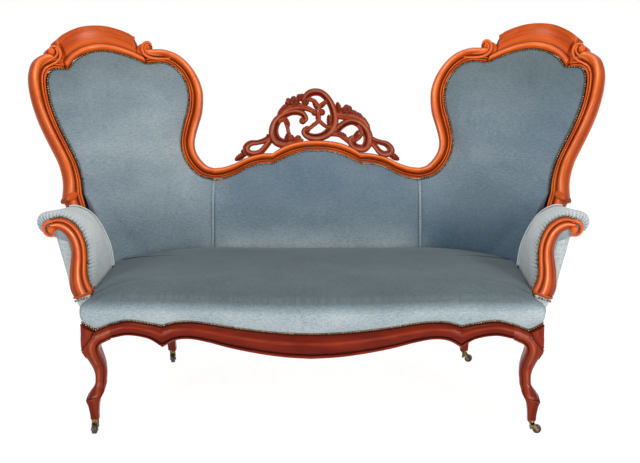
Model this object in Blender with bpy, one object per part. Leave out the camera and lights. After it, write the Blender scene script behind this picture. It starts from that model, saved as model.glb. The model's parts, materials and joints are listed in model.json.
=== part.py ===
"""Upholstered settee with two raised ends, a pierced carved crest and four swivel casters.

Metres, +Z up, the front faces -Y, left and right as seen from the front. Outlines are measured from
the seat corner: x outwards from SEAT_HALF, z up from SEAT_Z. While it is modelled, y = 0 lies on the
front legs' stems; at the end the whole settee is centred on its footprint.
"""

import math

import bmesh
import bpy
import numpy as np

# Overall sizes
SEAT_HALF = 0.620        # centre line to the inside of an arm
SEAT_Z = 0.330           # floor to the top of the seat rails
BACK_Y = 0.574           # front legs to the back frame, at the seat rails
GAP = 0.0004             # clearance between pieces that touch

# Bent and leaning surface that carries the back frame
BACK_LEAN = 0.18         # backward run for each metre of height
BEND_LOW = 0.290         # plan radius of the rear corners at the seat
BEND_HIGH = 0.700        # plan radius at BEND_RISE above the seat
BEND_RISE = 0.720
FLAT_SET_BACK = 0.200    # seat corner to the end of the flat middle, at BEND_RISE
FRAME_FRONT = 0.020      # moulded frame, forward of the surface
FRAME_REAR = 0.024       # and behind it

# Frame stations: outer edge x, z, then inner (nailed) edge x, z
UPRIGHT = (
    (0.144, 0.270, 0.107, 0.270),
    (0.148, 0.315, 0.114, 0.310),
    (0.162, 0.365, 0.127, 0.354),
    (0.184, 0.413, 0.147, 0.400),
    (0.206, 0.459, 0.168, 0.444),
    (0.226, 0.505, 0.188, 0.490),
    (0.242, 0.550, 0.204, 0.535),
    (0.254, 0.595, 0.214, 0.578),
    (0.259, 0.635, 0.218, 0.613),
    (0.254, 0.668, 0.213, 0.635),
    (0.240, 0.684, 0.200, 0.645),
    (0.222, 0.691, 0.182, 0.644),
    (0.206, 0.688, 0.1635, 0.6415),
)
TABLET = (
    (-0.034, 0.736, -0.0704, 0.6515),
    (0.006, 0.754, -0.022, 0.673),
    (0.049, 0.767, 0.023, 0.688),
    (0.092, 0.771, 0.070, 0.695),
    (0.136, 0.766, 0.115, 0.686),
    (0.178, 0.747, 0.145, 0.667),
    (0.202, 0.726, 0.1629, 0.6420),
)
SHOULDER = (
    (-0.054, 0.698, -0.071, 0.651),
    (-0.090, 0.696, -0.096, 0.654),
    (-0.130, 0.694, -0.130, 0.654),
    (-0.173, 0.678, -0.159, 0.641),
    (-0.209, 0.647, -0.184, 0.617),
    (-0.236, 0.607, -0.201, 0.588),
    (-0.251, 0.565, -0.209, 0.556),
    (-0.253, 0.528, -0.209, 0.528),
    (-0.249, 0.490, -0.204, 0.498),
    (-0.238, 0.453, -0.194, 0.465),
    (-0.229, 0.422, -0.186, 0.433),
    (-0.225, 0.396, -0.182, 0.401),
    (-0.229, 0.371, -0.187, 0.370),
    (-0.242, 0.348, -0.198, 0.342),
    (-0.259, 0.330, -0.218, 0.315),
    (-0.272, 0.322, -0.246, 0.294),
    (-0.288, 0.318, -0.288, 0.283),
)
SEAM_IN = 0.288          # seat corner in to the joint between shoulder and centre rail, and the seam
# Centre rail: x from the middle, then outer and inner edge z; it ends at the shoulders
CENTRE_RAIL = (
    (0.000, 0.405, 0.375),
    (0.042, 0.403, 0.372),
    (0.080, 0.396, 0.362),
    (0.115, 0.382, 0.347),
    (0.142, 0.365, 0.336),
    (0.165, 0.364, 0.332),
    (0.190, 0.361, 0.331),
    (0.225, 0.351, 0.320),
    (0.262, 0.334, 0.300),
    (0.300, 0.3215, 0.287),
)
KNOB_RADIUS = 0.0145
KNOB_PROUD = 0.004       # scroll knobs, forward of the moulding
INNER_KNOB = (-0.077, 0.700)
OUTER_KNOB = (0.209, 0.696)
TABLET_COVE = 0.010      # depth of the hollow in a tablet's ends

# Upright post below the arm
POST_DEPTH = 0.040
POST_WIDTH = 0.026
POST_FOOT = (0.004, 0.345)    # seat corner out to the middle of its foot on the side rail, and its y
POST_KNEE = (0.054, 0.372)    # the same for its bend, behind the seam of the arm
POST_KNEE_Z = 0.090

# Seat rails
RAIL_THICK = 0.032
RAIL_DEEP = 0.050
APRON_Y = -0.022         # face of the front rail, without its moulding
APRON_BOW = 0.030        # how far its middle bows forward
APRON_THICK = 0.030
APRON_JOINT = 0.068      # seat corner in to the joint with the leg
# Front rail stations: x in from the seat corner, upper and lower edge z below the rails' top
APRON_ENDS = (
    (0.068, -0.007, -0.0455),
    (0.115, 0.003, -0.037),
    (0.170, -0.0045, -0.0465),
    (0.209, -0.013, -0.071),
    (0.245, -0.002, -0.051),
    (0.287, 0.001, -0.0465),
)
# and x from the middle for its belly
APRON_BELLY = (
    (0.280, -0.003, -0.055),
    (0.225, -0.011, -0.068),
    (0.150, -0.0185, -0.081),
    (0.075, -0.024, -0.090),
    (0.000, -0.026, -0.094),
)

# Legs
LEG_IN = 0.006           # seat corner in to a front leg's stem
FOOT_Z = 0.0403          # underside of the legs
TOE_X = 0.0215           # toe, outwards from the stem
# Foot levels: height above the foot's underside, outer and inner reach from the stem
FOOT_LEVELS = (
    (0.000, 0.0100, -0.0100),
    (0.015, 0.0118, -0.0112),
    (0.034, 0.0165, -0.0155),
    (0.046, 0.0207, -0.0212),
    (0.050, TOE_X, -0.0240),
    (0.056, 0.0165, -0.0275),
    (0.077, 0.0045, -0.0322),
)
# Knee levels: height below the seat rails' top, outer and inner reach from the stem
KNEE_LEVELS = (
    (0.178, -0.0030, -0.0350),
    (0.157, -0.0020, -0.0370),
    (0.125, 0.0070, -0.0360),
    (0.091, 0.0180, -0.0280),
    (0.075, 0.0205, -0.0260),
    (0.062, 0.0210, -0.0330),
    (0.051, 0.0210, -0.0540),
    (0.0455, 0.0210, -0.0618),
    (0.026, 0.0195, -0.0618),
)
NAIL_DIP_IN = 0.025      # seat corner in to the dip in the leg head's upper edge
NAIL_DIP = 0.025         # depth of that dip below the rails' top
LEG_BACK = 0.032         # rear face of a front leg's head
LEG_ROUND = 0.010
REAR_LEG_IN = 0.135      # seat corner in to a rear leg
REAR_LEG_RUN = 0.072     # backward rake, from its head to its foot
REAR_LEG_TOP = 0.036
REAR_LEG_FOOT = 0.026

# Arms: facing stations, nailed edge x, z then lower edge x, z
FACING = (
    (0.104, 0.271, 0.095, 0.247),
    (0.080, 0.279, 0.077, 0.243),
    (0.055, 0.275, 0.064, 0.233),
    (0.032, 0.259, 0.054, 0.218),
    (0.016, 0.234, 0.048, 0.198),
    (0.007, 0.205, 0.047, 0.180),
    (0.005, 0.170, 0.050, 0.158),
    (0.007, 0.135, 0.055, 0.128),
    (0.006, 0.110, 0.057, 0.100),
    (-0.001, 0.088, 0.056, 0.075),
    (-0.008, 0.073, 0.048, 0.054),
    (0.004, 0.052, 0.040, 0.042),
    (0.010, 0.0004, 0.036, 0.0004),
)
FACING_FRONT = 0.048     # front plane of a facing, without its reeds
FACING_THICK = 0.028
BOSS = (0.099, 0.247)
BOSS_RADIUS = 0.017
BOSS_PROUD = (0.010, 0.015)   # rim and top of the boss, forward of that plane
# Arm pad: x, z of its section behind the facing, then x and y where that line ends at the back.
# The roll, from its underside over the top and down the inside of the arm
ARM_OUTER = (
    (0.122, 0.229, 0.122, 0.345),
    (0.140, 0.240, 0.140, 0.345),
    (0.148, 0.262, 0.148, 0.347),
    (0.138, 0.283, 0.139, 0.354),
    (0.115, 0.292, 0.126, 0.360),
    (0.080, 0.292, 0.104, 0.367),
    (0.047, 0.282, 0.081, 0.386),
    (0.020, 0.260, 0.062, 0.397),
    (0.002, 0.225, 0.049, 0.392),
    (-0.007, 0.180, 0.033, 0.378),
    (-0.008, 0.130, 0.010, 0.358),
    (-0.005, 0.070, -0.005, 0.334),
    (-0.003, 0.018, -0.005, 0.316),
)
# and back up its hollow side, clear of the arm rail
ARM_INNER = (
    (0.022, 0.018, 0.022, 0.316),
    (0.032, 0.110, 0.030, 0.346),
    (0.046, 0.200, 0.055, 0.360),
    (0.062, 0.2625, 0.079, 0.361),
    (0.118, 0.2625, 0.118, 0.345),
)
ARM_TOP = 0.292          # top of the roll, above the seat rails
ARM_FALL = 0.047         # how much lower that top is at the back
ARM_RAIL = (0.094, 0.117, 0.235, 0.262)   # x and z range of the hidden rail under the roll
ARM_RAIL_END = 0.335     # y of its rear end
# Outside arm cover, front edge x, z
ARM_SIDE = (
    (0.096, 0.223),
    (0.083, 0.165),
    (0.064, 0.093),
    (0.053, 0.043),
    (0.0205, 0.0),
    (0.0205, -0.050),
)
COVER_THICK = 0.004

# Upholstery of the back
PAD_REAR = 0.004         # rear of a back pad, forward of the surface
PAD_EDGE = 0.013         # front of a back pad at its nailed edge
PAD_FULL_LOW = 0.048     # crown over that edge, at the seat
PAD_FULL_HIGH = 0.026    # and at the top of the raised ends
PAD_ROLL = 0.085         # distance over which the pad is drawn in to its nails
PAD_LOW = 0.030          # lower edge of the back pads, above the seat rails
SEAM_DIP = 0.004
SEAM_WIDE = 0.012
PAD_CENTRE = (-0.060, 0.290)
# Seam between back pad and arm pad, from the upright down to the seat
ARM_SEAM = ((0.096, 0.250), (0.070, 0.170), (0.042, 0.090), (0.010, 0.030))
COVER_SEAM = ((0.092, 0.250), (0.062, 0.170), (0.025, 0.080), (-0.020, 0.0), (-0.020, -0.050))

# Sprung seat
SEAT_EDGE = 0.068        # top edge of the seat, above the rails
SEAT_CROWN = 0.034
SEAT_ROLL = 0.20
SEAT_BULGE = 0.014       # how far the front roll stands proud
SEAT_SIDE_IN = 0.010     # clearance of the seat to the seat corner, beside the arm
SEAT_EAR = 0.018         # front corners of the seat, outside the seat corner
SEAT_EAR_FALL = 0.034    # how much lower the top of those corners is
SEAT_EAR_FADE = 12  # power by which that fall dies away towards the middle
SEAT_BASE = 0.004

# Hidden back frame
STILE_WIDE = 0.040
STILE_FRONT = -0.001
STILE_REAR = -0.014
LOWER_RAIL = (0.080, 0.125)   # z range above the seat rails
LOWER_RAIL_IN = 0.055    # seat corner in to its ends

# Casters
WHEEL_RADIUS = 0.0125
WHEEL_WIDE = 0.0135
WHEEL_SIDES = 20
TRAIL = 0.016
SOCKET_RADIUS = 0.0115
SOCKET_THICK = 0.0040
STEM_RADIUS = 0.0032
FORK_RADIUS = 0.0090
FORK_PLATE = 0.0030
CHEEK = 0.0020
CHEEK_CLEAR = 0.0005     # wheel to fork cheek
AXLE_RADIUS = 0.0020
AXLE_HEAD = 0.0034
AXLE_DOME = 0.0008       # height of the pin's heads
BORE_CLEAR = 0.0003
ROUND_SIDES = 12
# Leg, position label, and the way each wheel trails, in degrees from +X
CASTERS = (
    ("front_left", -90.0),
    ("front_right", 0.0),
    ("rear_left", -80.0),
    ("rear_right", -15.0),
)

WEB_ROWS = 3
WEB_COLUMNS = 7
WEB_STRAP = 0.050
WEB_THICK = 0.003
CLOTH_THICK = 0.002
BLOCK = 0.060            # legs of the corner blocks
BLOCK_DEEP = 0.030

# Crest: x from the middle and z from the top of the centre rail's hump, then half width, in millimetres
CREST_RING = (
    (-36, 127, 8.6), (-29, 143, 10.3), (-14, 152, 9.4), (3, 154, 8.6), (23, 145, 9.4), (40, 126, 10.3),
    (53, 100, 11.1), (59, 73, 12.0), (55, 47, 13.3), (40, 26, 13.3), (19, 12, 11.1), (-5, 9, 10.3),
    (-26, 15, 10.3), (-37, 28, 10.3), (-31, 38, 8.6),
)
CREST_LEFT = (
    (-87, -7, 9.4), (-109, -12, 12.8), (-129, -2, 14.6), (-139, 17, 13.3), (-139, 39, 12.4),
    (-131, 60, 12.0), (-113, 77, 11.1), (-90, 89, 8.6), (-64, 91, 8.6), (-43, 83, 8.6), (-36, 68, 7.7),
    (-44, 59, 6.8),
)
CREST_RIGHT = (
    (55, 25, 7.7), (71, 41, 9.4), (90, 55, 9.4), (114, 61, 9.4), (138, 53, 11.1), (157, 34, 12.8),
    (167, 13, 13.3), (167, -7, 13.3), (155, -22, 11.1), (133, -21, 10.3), (115, -10, 11.1), (111, 4, 9.4),
    (120, 11, 6.8),
)
CREST_TAIL_LEFT = (
    (-146, 20, 7.7), (-168, 2, 6.8), (-191, -5, 6.0), (-215, -8, 7.7), (-228, -22, 9.0), (-223, -36, 9.0),
    (-205, -41, 8.6), (-184, -36, 7.7), (-169, -21, 6.8), (-154, 3, 6.8),
)
CREST_TAIL_RIGHT = (
    (172, 11, 6.8), (190, 0, 6.8), (207, -5, 6.0), (226, -12, 7.7), (239, -26, 9.0), (236, -38, 9.0),
    (219, -41, 7.7), (203, -33, 6.8), (190, -16, 6.0), (177, 0, 6.8),
)
CREST_STEMS = (
    ((-10, 96, 6.8), (-36, 104, 7.7), (-64, 106, 8.6), (-96, 97, 8.6), (-116, 80, 6.8)),
    ((6, 92, 5.1), (6, 64, 5.6), (-14, 45, 4.7), (-29, 35, 6.0)),
    ((6, 64, 5.6), (29, 45, 4.7), (50, 42, 6.0)),
    ((6, 94, 5.1), (9, 111, 5.1), (32, 123, 6.0)),
    ((9, 111, 5.1), (-7, 128, 5.6), (-27, 132, 6.0)),
    ((61, 80, 8.6), (90, 77, 9.4), (125, 70, 10.3), (154, 55, 9.4), (168, 22, 7.7)),
    ((-122, 64, 5.1), (-101, 68, 6.8), (-93, 45, 5.1), (-90, 26, 4.3), (-84, 5, 6.8)),
    ((131, 51, 4.3), (143, 28, 5.1), (138, 9, 4.7), (120, -2, 5.1)),
    ((50, 23, 5.1), (77, 20, 5.6), (97, 6, 6.0), (114, -8, 6.0)),
    ((-226, -38, 7.7), (-246, -51, 8.6), (-264, -62, 6.0)),
    ((236, -40, 7.7), (255, -52, 8.6), (270, -63, 6.0)),
    ((-53, 8, 8.6), (-57, -2, 8.6), (-77, -7, 7.7)),
)
# Roses, buds and berries: x, z, radius
CREST_BUDS = (
    (-59, 121, 17.1), (-32, 121, 12.8), (101, 95, 17.1), (-6, 90, 11.1), (16, 89, 11.1), (6, 80, 9.4),
    (-29, 34, 12.0), (-45, 62, 11.1), (-83, 8, 12.8), (-56, 9, 10.3), (118, 5, 12.8), (146, -21, 11.1),
    (-224, -16, 10.3), (236, -23, 10.3),
)
# Leaves: x, z, half length, half width, turn in degrees
CREST_LEAVES = (
    (-98, 104, 17, 9, 20), (-53, 140, 16, 9, 70), (-77, 128, 15, 8, 130), (66, 108, 18, 10, 60),
    (139, 76, 15, 9, -30), (153, 62, 13, 8, -60), (42, 62, 20, 8, 98), (-96, 64, 17, 8, 110),
    (81, 20, 15, 7, -15), (129, -23, 19, 9, -10),
)
CREST_FLAT = 0.55        # how much of its half width a crest member's half depth follows
CREST_LEAST = 4.0        # and its part that stays the same

MAHOGANY = (0.36, 0.085, 0.022, 1.0)
DARK_MAHOGANY = (0.22, 0.032, 0.014, 1.0)
BEECH = (0.52, 0.36, 0.20, 1.0)
VELVET = (0.16, 0.22, 0.27, 1.0)
JUTE = (0.42, 0.33, 0.21, 1.0)
BRASS = (0.62, 0.42, 0.16, 1.0)
WHEEL_BROWN = (0.05, 0.03, 0.02, 1.0)

SIDES = ((-1.0, "left"), (1.0, "right"))

for old in list(bpy.data.objects):
    bpy.data.objects.remove(old, do_unlink=True)


def material(name, colour, roughness, metallic=0.0):
    """A plain Principled finish."""
    finish = bpy.data.materials.new(name)
    finish.use_nodes = True
    shader = finish.node_tree.nodes["Principled BSDF"]
    shader.inputs["Base Color"].default_value = colour
    shader.inputs["Roughness"].default_value = roughness
    shader.inputs["Metallic"].default_value = metallic
    return finish


WOOD = material("polished_mahogany", MAHOGANY, 0.25)
DARK_WOOD = material("dark_mahogany", DARK_MAHOGANY, 0.25)
HIDDEN_WOOD = material("beech", BEECH, 0.7)
FABRIC = material("velvet", VELVET, 0.9)
WEBBING = material("jute", JUTE, 0.9)
METAL = material("brass", BRASS, 0.35, 1.0)
TREAD = material("wheel_brown", WHEEL_BROWN, 0.5)

ROOT = bpy.data.objects.new("settee", None)
bpy.context.scene.collection.objects.link(ROOT)


def add_object(name, mesh, finish, parent=ROOT):
    """An object of that mesh in the scene."""
    thing = bpy.data.objects.new(name, mesh)
    if finish is not None and not mesh.materials:
        mesh.materials.append(finish)
    bpy.context.scene.collection.objects.link(thing)
    thing.parent = parent
    return thing


def close_mesh(name, builder):
    """A mesh from a bmesh, with its faces turned outwards."""
    bmesh.ops.recalc_face_normals(builder, faces=builder.faces)
    mesh = bpy.data.meshes.new(name)
    builder.to_mesh(mesh)
    builder.free()
    mesh.shade_smooth()
    mesh.set_sharp_from_angle(angle=math.radians(35))
    return mesh


def loft(name, rings, ends="flat", fold=None):
    """A closed skin over rings of equally many points; the ends are flat, or meet in poles, or join.

    A fold names two points of the last ring; its flat end is then folded along the line between them.
    """
    builder = bmesh.new()
    skin = [[builder.verts.new(point) for point in ring] for ring in rings]
    pairs = list(zip(skin, skin[1:]))
    if ends == "joined":
        pairs.append((skin[-1], skin[0]))
    for low, high in pairs:
        count = len(low)
        for k in range(count):
            after = (k + 1) % count
            builder.faces.new((low[k], low[after], high[after], high[k]))
    if ends == "flat":
        builder.faces.new(skin[0])
        if fold:
            builder.faces.new(skin[-1][fold[0]:fold[1] + 1])
            builder.faces.new(skin[-1][fold[1]:] + skin[-1][:fold[0] + 1])
        else:
            builder.faces.new(skin[-1])
    if ends == "pole":
        for ring, source in ((skin[0], rings[0]), (skin[-1], rings[-1])):
            pole = builder.verts.new(np.mean(source, axis=0))
            for k, vertex in enumerate(ring):
                builder.faces.new((vertex, ring[(k + 1) % len(ring)], pole))
    return close_mesh(name, builder)


def lathe(name, profile, sides, start=0.0):
    """A closed profile of (radius, z) turned about Z."""
    angles = start + np.arange(sides) * 2 * math.pi / sides
    rings = [np.array([(r * math.cos(a), r * math.sin(a), z) for r, z in profile]) for a in angles]
    return loft(name, rings, "joined")


def box(name, low, high):
    """A box between two corners."""
    (x0, y0, z0), (x1, y1, z1) = low, high
    ring = np.array(((x0, y0), (x1, y0), (x1, y1), (x0, y1)))
    rings = [np.column_stack((ring, np.full(4, z))) for z in (z0, z1)]
    return loft(name, rings)


def cutter(thing):
    """Marks an object as a tool of a Boolean."""
    thing.hide_render = True
    thing.display_type = "WIRE"
    return thing


def combine(thing, tool, operation):
    """A Boolean of thing with the object tool."""
    change = thing.modifiers.new(operation.lower(), "BOOLEAN")
    change.operation = operation
    change.solver = "EXACT"
    change.object = cutter(tool)


def handed(points, side):
    """Points of the right-hand side, carried to either side."""
    return np.asarray(points) * (side, 1.0, 1.0)


def smooth(points, steps):
    """A Catmull-Rom curve through rows of numbers, with some steps in each span."""
    rows = np.asarray(points, float)
    row = np.vstack((2 * rows[0] - rows[1], rows, 2 * rows[-1] - rows[-2]))
    t = np.linspace(0.0, 1.0, steps, endpoint=False)[:, None]
    spans = []
    for a, b, c, d in zip(row, row[1:], row[2:], row[3:]):
        curve = 2 * b + (c - a) * t + (2 * a - 5 * b + 4 * c - d) * t**2
        spans.append(0.5 * (curve + (3 * b - a - 3 * c + d) * t**3))
    return np.vstack(spans + [rows[-1:]])


def bend_at(z):
    """Plan radius of the bent ends at a height, and half the width of the flat middle."""
    share = np.maximum(z - SEAT_Z, 0.0) / BEND_RISE
    radius = BEND_LOW + share * (BEND_HIGH - BEND_LOW)
    flat_low = SEAT_HALF - BEND_LOW
    return radius, flat_low + share * (SEAT_HALF - FLAT_SET_BACK - flat_low)


def back_surface(x, z):
    """Depth y of the back's surface: flat in the middle, bent forward to the ends, leaning back."""
    radius, flat = bend_at(z)
    reach = np.clip(np.abs(x) - flat, 0.0, 0.99 * radius)
    bend = radius - np.sqrt(radius**2 - reach**2)
    return BACK_Y + BACK_LEAN * np.maximum(z - SEAT_Z, 0.0) - bend


def back_point(x, z, out):
    """Points of the back at some height out of its surface, forwards."""
    x, z, out = np.broadcast_arrays(np.asarray(x, float), np.asarray(z, float), np.asarray(out, float))
    step = 0.0005
    slope_x = (back_surface(x + step, z) - back_surface(x - step, z)) / (2 * step)
    slope_z = (back_surface(x, z + step) - back_surface(x, z - step)) / (2 * step)
    normal = np.stack((slope_x, -np.ones_like(x), slope_z), axis=-1)
    normal /= np.linalg.norm(normal, axis=-1, keepdims=True)
    return np.stack((x, back_surface(x, z), z), axis=-1) + out[..., None] * normal


def from_corner(stations):
    """Stations of x, z pairs, from the seat corner to the settee's own axes."""
    rows = np.asarray(stations, float)
    return rows + np.tile((SEAT_HALF, SEAT_Z), rows.shape[1] // 2)


# Section of the moulded frame: share of the width from the nailed edge, height out of the surface
MOULDING = (
    (0.0, -FRAME_REAR),
    (0.0, 0.5 * FRAME_FRONT),
    (0.07, 0.65 * FRAME_FRONT),
    (0.17, 0.6 * FRAME_FRONT),
    (0.23, 0.35 * FRAME_FRONT),
    (0.32, 0.6 * FRAME_FRONT),
    (0.52, 0.95 * FRAME_FRONT),
    (0.72, FRAME_FRONT),
    (0.90, 0.65 * FRAME_FRONT),
    (1.0, 0.1 * FRAME_FRONT),
    (0.95, -0.3 * FRAME_REAR),
    (0.80, -0.7 * FRAME_REAR),
    (0.60, -FRAME_REAR),
)
# Section of a tablet: a bead, a quirk, then a hollow frieze
FRIEZE = (
    (0.0, -FRAME_REAR),
    (0.0, 0.5 * FRAME_FRONT),
    (0.08, 0.85 * FRAME_FRONT),
    (0.19, 0.95 * FRAME_FRONT),
    (0.28, 0.55 * FRAME_FRONT),
    (0.33, 0.3 * FRAME_FRONT),
    (0.60, 0.4 * FRAME_FRONT),
    (0.96, 0.95 * FRAME_FRONT),
    (1.0, 0.8 * FRAME_FRONT),
    (1.0, -FRAME_REAR),
)


def back_ring(station, section):
    """One section of a member on the back's surface."""
    outer = station[:2]
    inner = station[2:]
    share = np.array(section)[:, :1]
    spot = inner + share * (outer - inner)
    return back_point(spot[:, 0], spot[:, 1], np.array(section)[:, 1])


def knob_tool(spot):
    """A scroll knob, standing on the back's surface at a place measured from the seat corner."""
    x, z = SEAT_HALF + spot[0], SEAT_Z + spot[1]
    turns = np.arange(ROUND_SIDES) * 2 * math.pi / ROUND_SIDES
    levels = ((-0.8 * FRAME_REAR, 1.0), (FRAME_FRONT, 1.0), (FRAME_FRONT + KNOB_PROUD, 0.7))
    return [
        back_point(x + KNOB_RADIUS * r * np.cos(turns), z + KNOB_RADIUS * r * np.sin(turns), out)
        for out, r in levels
    ]


def post_ring(place, z):
    """A level of the plain post that carries an upright down to the side rail."""
    section = np.array(MOULDING)
    depth = (section[:, 1] + FRAME_REAR) / (FRAME_FRONT + FRAME_REAR)
    x = SEAT_HALF + place[0] + (section[:, 0] - 0.5) * POST_WIDTH
    y = place[1] + (0.5 - depth) * POST_DEPTH
    return np.column_stack((x, y, np.full(len(section), z)))


def post_rings():
    """Foot, bend and head of an upright's post."""
    head = back_ring(from_corner(UPRIGHT)[0], MOULDING)
    return [post_ring(POST_FOOT, SEAT_Z + GAP), post_ring(POST_KNEE, SEAT_Z + POST_KNEE_Z), head]


def build_uprights():
    """Moulded uprights, each with its post."""
    rings = post_rings()[:2] + [back_ring(row, MOULDING) for row in from_corner(UPRIGHT)]
    for side, label in SIDES:
        body = [handed(ring, side) for ring in rings]
        upright = add_object("back_upright_" + label, loft("upright", body), WOOD)
        tool = [handed(ring, side) for ring in knob_tool(OUTER_KNOB)]
        combine(upright, add_object("outer_knob_" + label, loft("knob", tool), None), "UNION")


def build_tablets():
    """Frieze blocks over the raised ends, with hollowed ends."""
    stations = from_corner(TABLET)
    count = len(stations)
    hollow = np.array([math.sin(math.pi * min(max((a - 0.35) / 0.6, 0.0), 1.0)) for a, _ in FRIEZE])
    rings = []
    for k, row in enumerate(stations):
        pull = TABLET_COVE * ((k == 0) - 1.0 * (k == count - 1))
        ring = back_ring(row, FRIEZE)
        ring[:, 0] += pull * hollow
        rings.append(ring)
    for side, label in SIDES:
        add_object("crest_tablet_" + label, loft("tablet", [handed(r, side) for r in rings]), WOOD)


def build_shoulders():
    """Moulded shoulder rails, from the scroll beside the tablet down to the joint at the notch."""
    rings = [back_ring(row, MOULDING) for row in from_corner(SHOULDER)]
    for side, label in SIDES:
        mesh = loft("shoulder", [handed(ring, side) for ring in rings])
        shoulder = add_object("shoulder_rail_" + label, mesh, WOOD)
        tool = [handed(ring, side) for ring in knob_tool(INNER_KNOB)]
        combine(shoulder, add_object("inner_knob_" + label, loft("knob", tool), None), "UNION")


def centre_stations():
    """Stations of the centre rail from the left joint to the right one."""
    joint = SHOULDER[-1]
    half = [(x, SEAT_Z + high, SEAT_Z + low) for x, high, low in CENTRE_RAIL]
    half.append((SEAT_HALF - SEAM_IN - GAP, SEAT_Z + joint[1], SEAT_Z + joint[3]))
    rows = [(-x, high, low) for x, high, low in reversed(half[1:])] + half
    return np.array([(x, high, x, low) for x, high, low in rows])


def build_centre_rail():
    """Low moulded rail between the shoulders."""
    rings = [back_ring(row, MOULDING) for row in centre_stations()]
    add_object("centre_top_rail", loft("centre_rail", rings), WOOD)


def crest_spot(x, z):
    """A place of the crest, given in millimetres from the top of the hump."""
    return np.asarray(x) / 1000.0, SEAT_Z + CENTRE_RAIL[0][1] + np.asarray(z) / 1000.0


def scroll_mesh(name, spots, steps, sides):
    """A round-edged member of changing width along a curve in the back's surface."""
    path = smooth(spots, steps)
    run = np.gradient(path[:, :2], axis=0)
    run /= np.linalg.norm(run, axis=1, keepdims=True)
    turns = np.arange(sides) * 2 * math.pi / sides
    rings = []
    for (x, z, radius), (dx, dz) in zip(path, run):
        across = radius * np.cos(turns)
        place_x, place_z = crest_spot(x - dz * across, z + dx * across)
        deep = (CREST_FLAT * radius + CREST_LEAST) / 1000.0
        rings.append(back_point(place_x, place_z, deep * np.sin(turns)))
    return loft(name, rings)


def leaf_mesh(name, x, z, half_long, half_wide, turn):
    """A pointed leaf with a raised midrib."""
    angle = math.radians(turn)
    along = np.array((math.cos(angle), math.sin(angle)))
    across = np.array((-along[1], along[0]))
    rings = []
    for share, wide in ((-0.96, 0.15), (-0.4, 0.85), (0.1, 1.0), (0.6, 0.6), (0.96, 0.12)):
        middle = np.array((x, z)) + share * half_long * along
        spots = np.array([middle + wide * half_wide * s * across for s in (-1.0, 0.0, 1.0, 0.0)])
        place_x, place_z = crest_spot(spots[:, 0], spots[:, 1])
        thick = half_wide * wide / 1000.0
        rings.append(back_point(place_x, place_z, np.array((0.0, thick, 0.0, -0.7 * thick))))
    return loft(name, rings)


def bud_mesh(name, x, z, radius):
    """A rose, bud or berry, as a faceted ball flattened a little."""
    turns = np.arange(8) * math.pi / 4
    rings = []
    for lift, wide in ((-0.85, 0.45), (-0.35, 0.95), (0.35, 0.95), (0.85, 0.45)):
        place_x, place_z = crest_spot(x + radius * wide * np.cos(turns), z + radius * wide * np.sin(turns))
        rings.append(back_point(place_x, place_z, lift * radius / 1000.0))
    return loft(name, rings)


def build_crest():
    """Pierced crest: scrolls, stems, leaves and buds joined into one carving, seated on the centre rail."""
    scrolls = (CREST_LEFT, CREST_RIGHT, CREST_TAIL_LEFT, CREST_TAIL_RIGHT)
    tools = [scroll_mesh("scroll", spots, 1, 6) for spots in scrolls]
    tools += [scroll_mesh("stem", spots, 1, 5) for spots in CREST_STEMS]
    tools += [bud_mesh("bud", *bud) for bud in CREST_BUDS]
    tools += [leaf_mesh("leaf", *leaf) for leaf in CREST_LEAVES]
    pieces = bpy.data.collections.new("crest_pieces")
    for number, mesh in enumerate(tools):
        tool = bpy.data.objects.new("crest_piece_%d" % number, mesh)
        bpy.context.scene.collection.objects.link(tool)
        tool.parent = ROOT
        pieces.objects.link(cutter(tool))
    crest = add_object("pierced_crest", scroll_mesh("ring", CREST_RING, 1, 6), WOOD)
    union = crest.modifiers.new("carving", "BOOLEAN")
    union.operation = "UNION"
    union.solver = "EXACT"
    union.use_self = True
    union.operand_type = "COLLECTION"
    union.collection = pieces
    crest.modifiers.new("facets", "TRIANGULATE")
    seat = centre_stations()
    seat[:, 1] += GAP
    behind, ahead = -2 * FRAME_REAR, 2 * FRAME_FRONT
    block = ((-0.5, behind), (-0.5, ahead), (1.0, ahead), (1.0, behind))
    tool = add_object("crest_seat", loft("crest_seat", [back_ring(row, block) for row in seat]), None)
    combine(crest, tool, "DIFFERENCE")


def apron_stations():
    """Stations x, upper z, lower z of the front rail, from its left joint to its right one."""
    half = [(SEAT_HALF - x, SEAT_Z + high, SEAT_Z + low) for x, high, low in APRON_ENDS]
    half += [(x, SEAT_Z + high, SEAT_Z + low) for x, high, low in APRON_BELLY]
    return np.array([(-x, high, low) for x, high, low in half[:-1]] + half[::-1])


def apron_face(x):
    """Depth y of the front rail's face: straight at the ends, bowed forward between the cusps."""
    cusp = SEAT_HALF - APRON_ENDS[3][0]
    share = np.clip(1.0 - (np.asarray(x) / cusp) ** 2, 0.0, 1.0)
    return APRON_Y - APRON_BOW * share**2


# Section of the front rail: share of its height, then forward of its face
APRON_SECTION = (
    (0.0, 0.003), (0.09, 0.009), (0.18, 0.006), (0.30, 0.010), (0.55, 0.014), (0.80, 0.011), (0.95, 0.004),
    (1.0, 0.0), (1.0, -APRON_THICK), (0.0, -APRON_THICK),
)


def build_front_rail():
    """Serpentine front rail with its swelling face and a bead on the lower edge."""
    section = np.array(APRON_SECTION)
    rings = []
    for x, high, low in apron_stations():
        y = apron_face(x) - section[:, 1]
        rings.append(np.column_stack((np.full(len(y), x), y, low + section[:, 0] * (high - low))))
    rings[0][:, 0] += GAP
    rings[-1][:, 0] -= GAP
    add_object("front_seat_rail", loft("front_rail", rings), DARK_WOOD)


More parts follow.
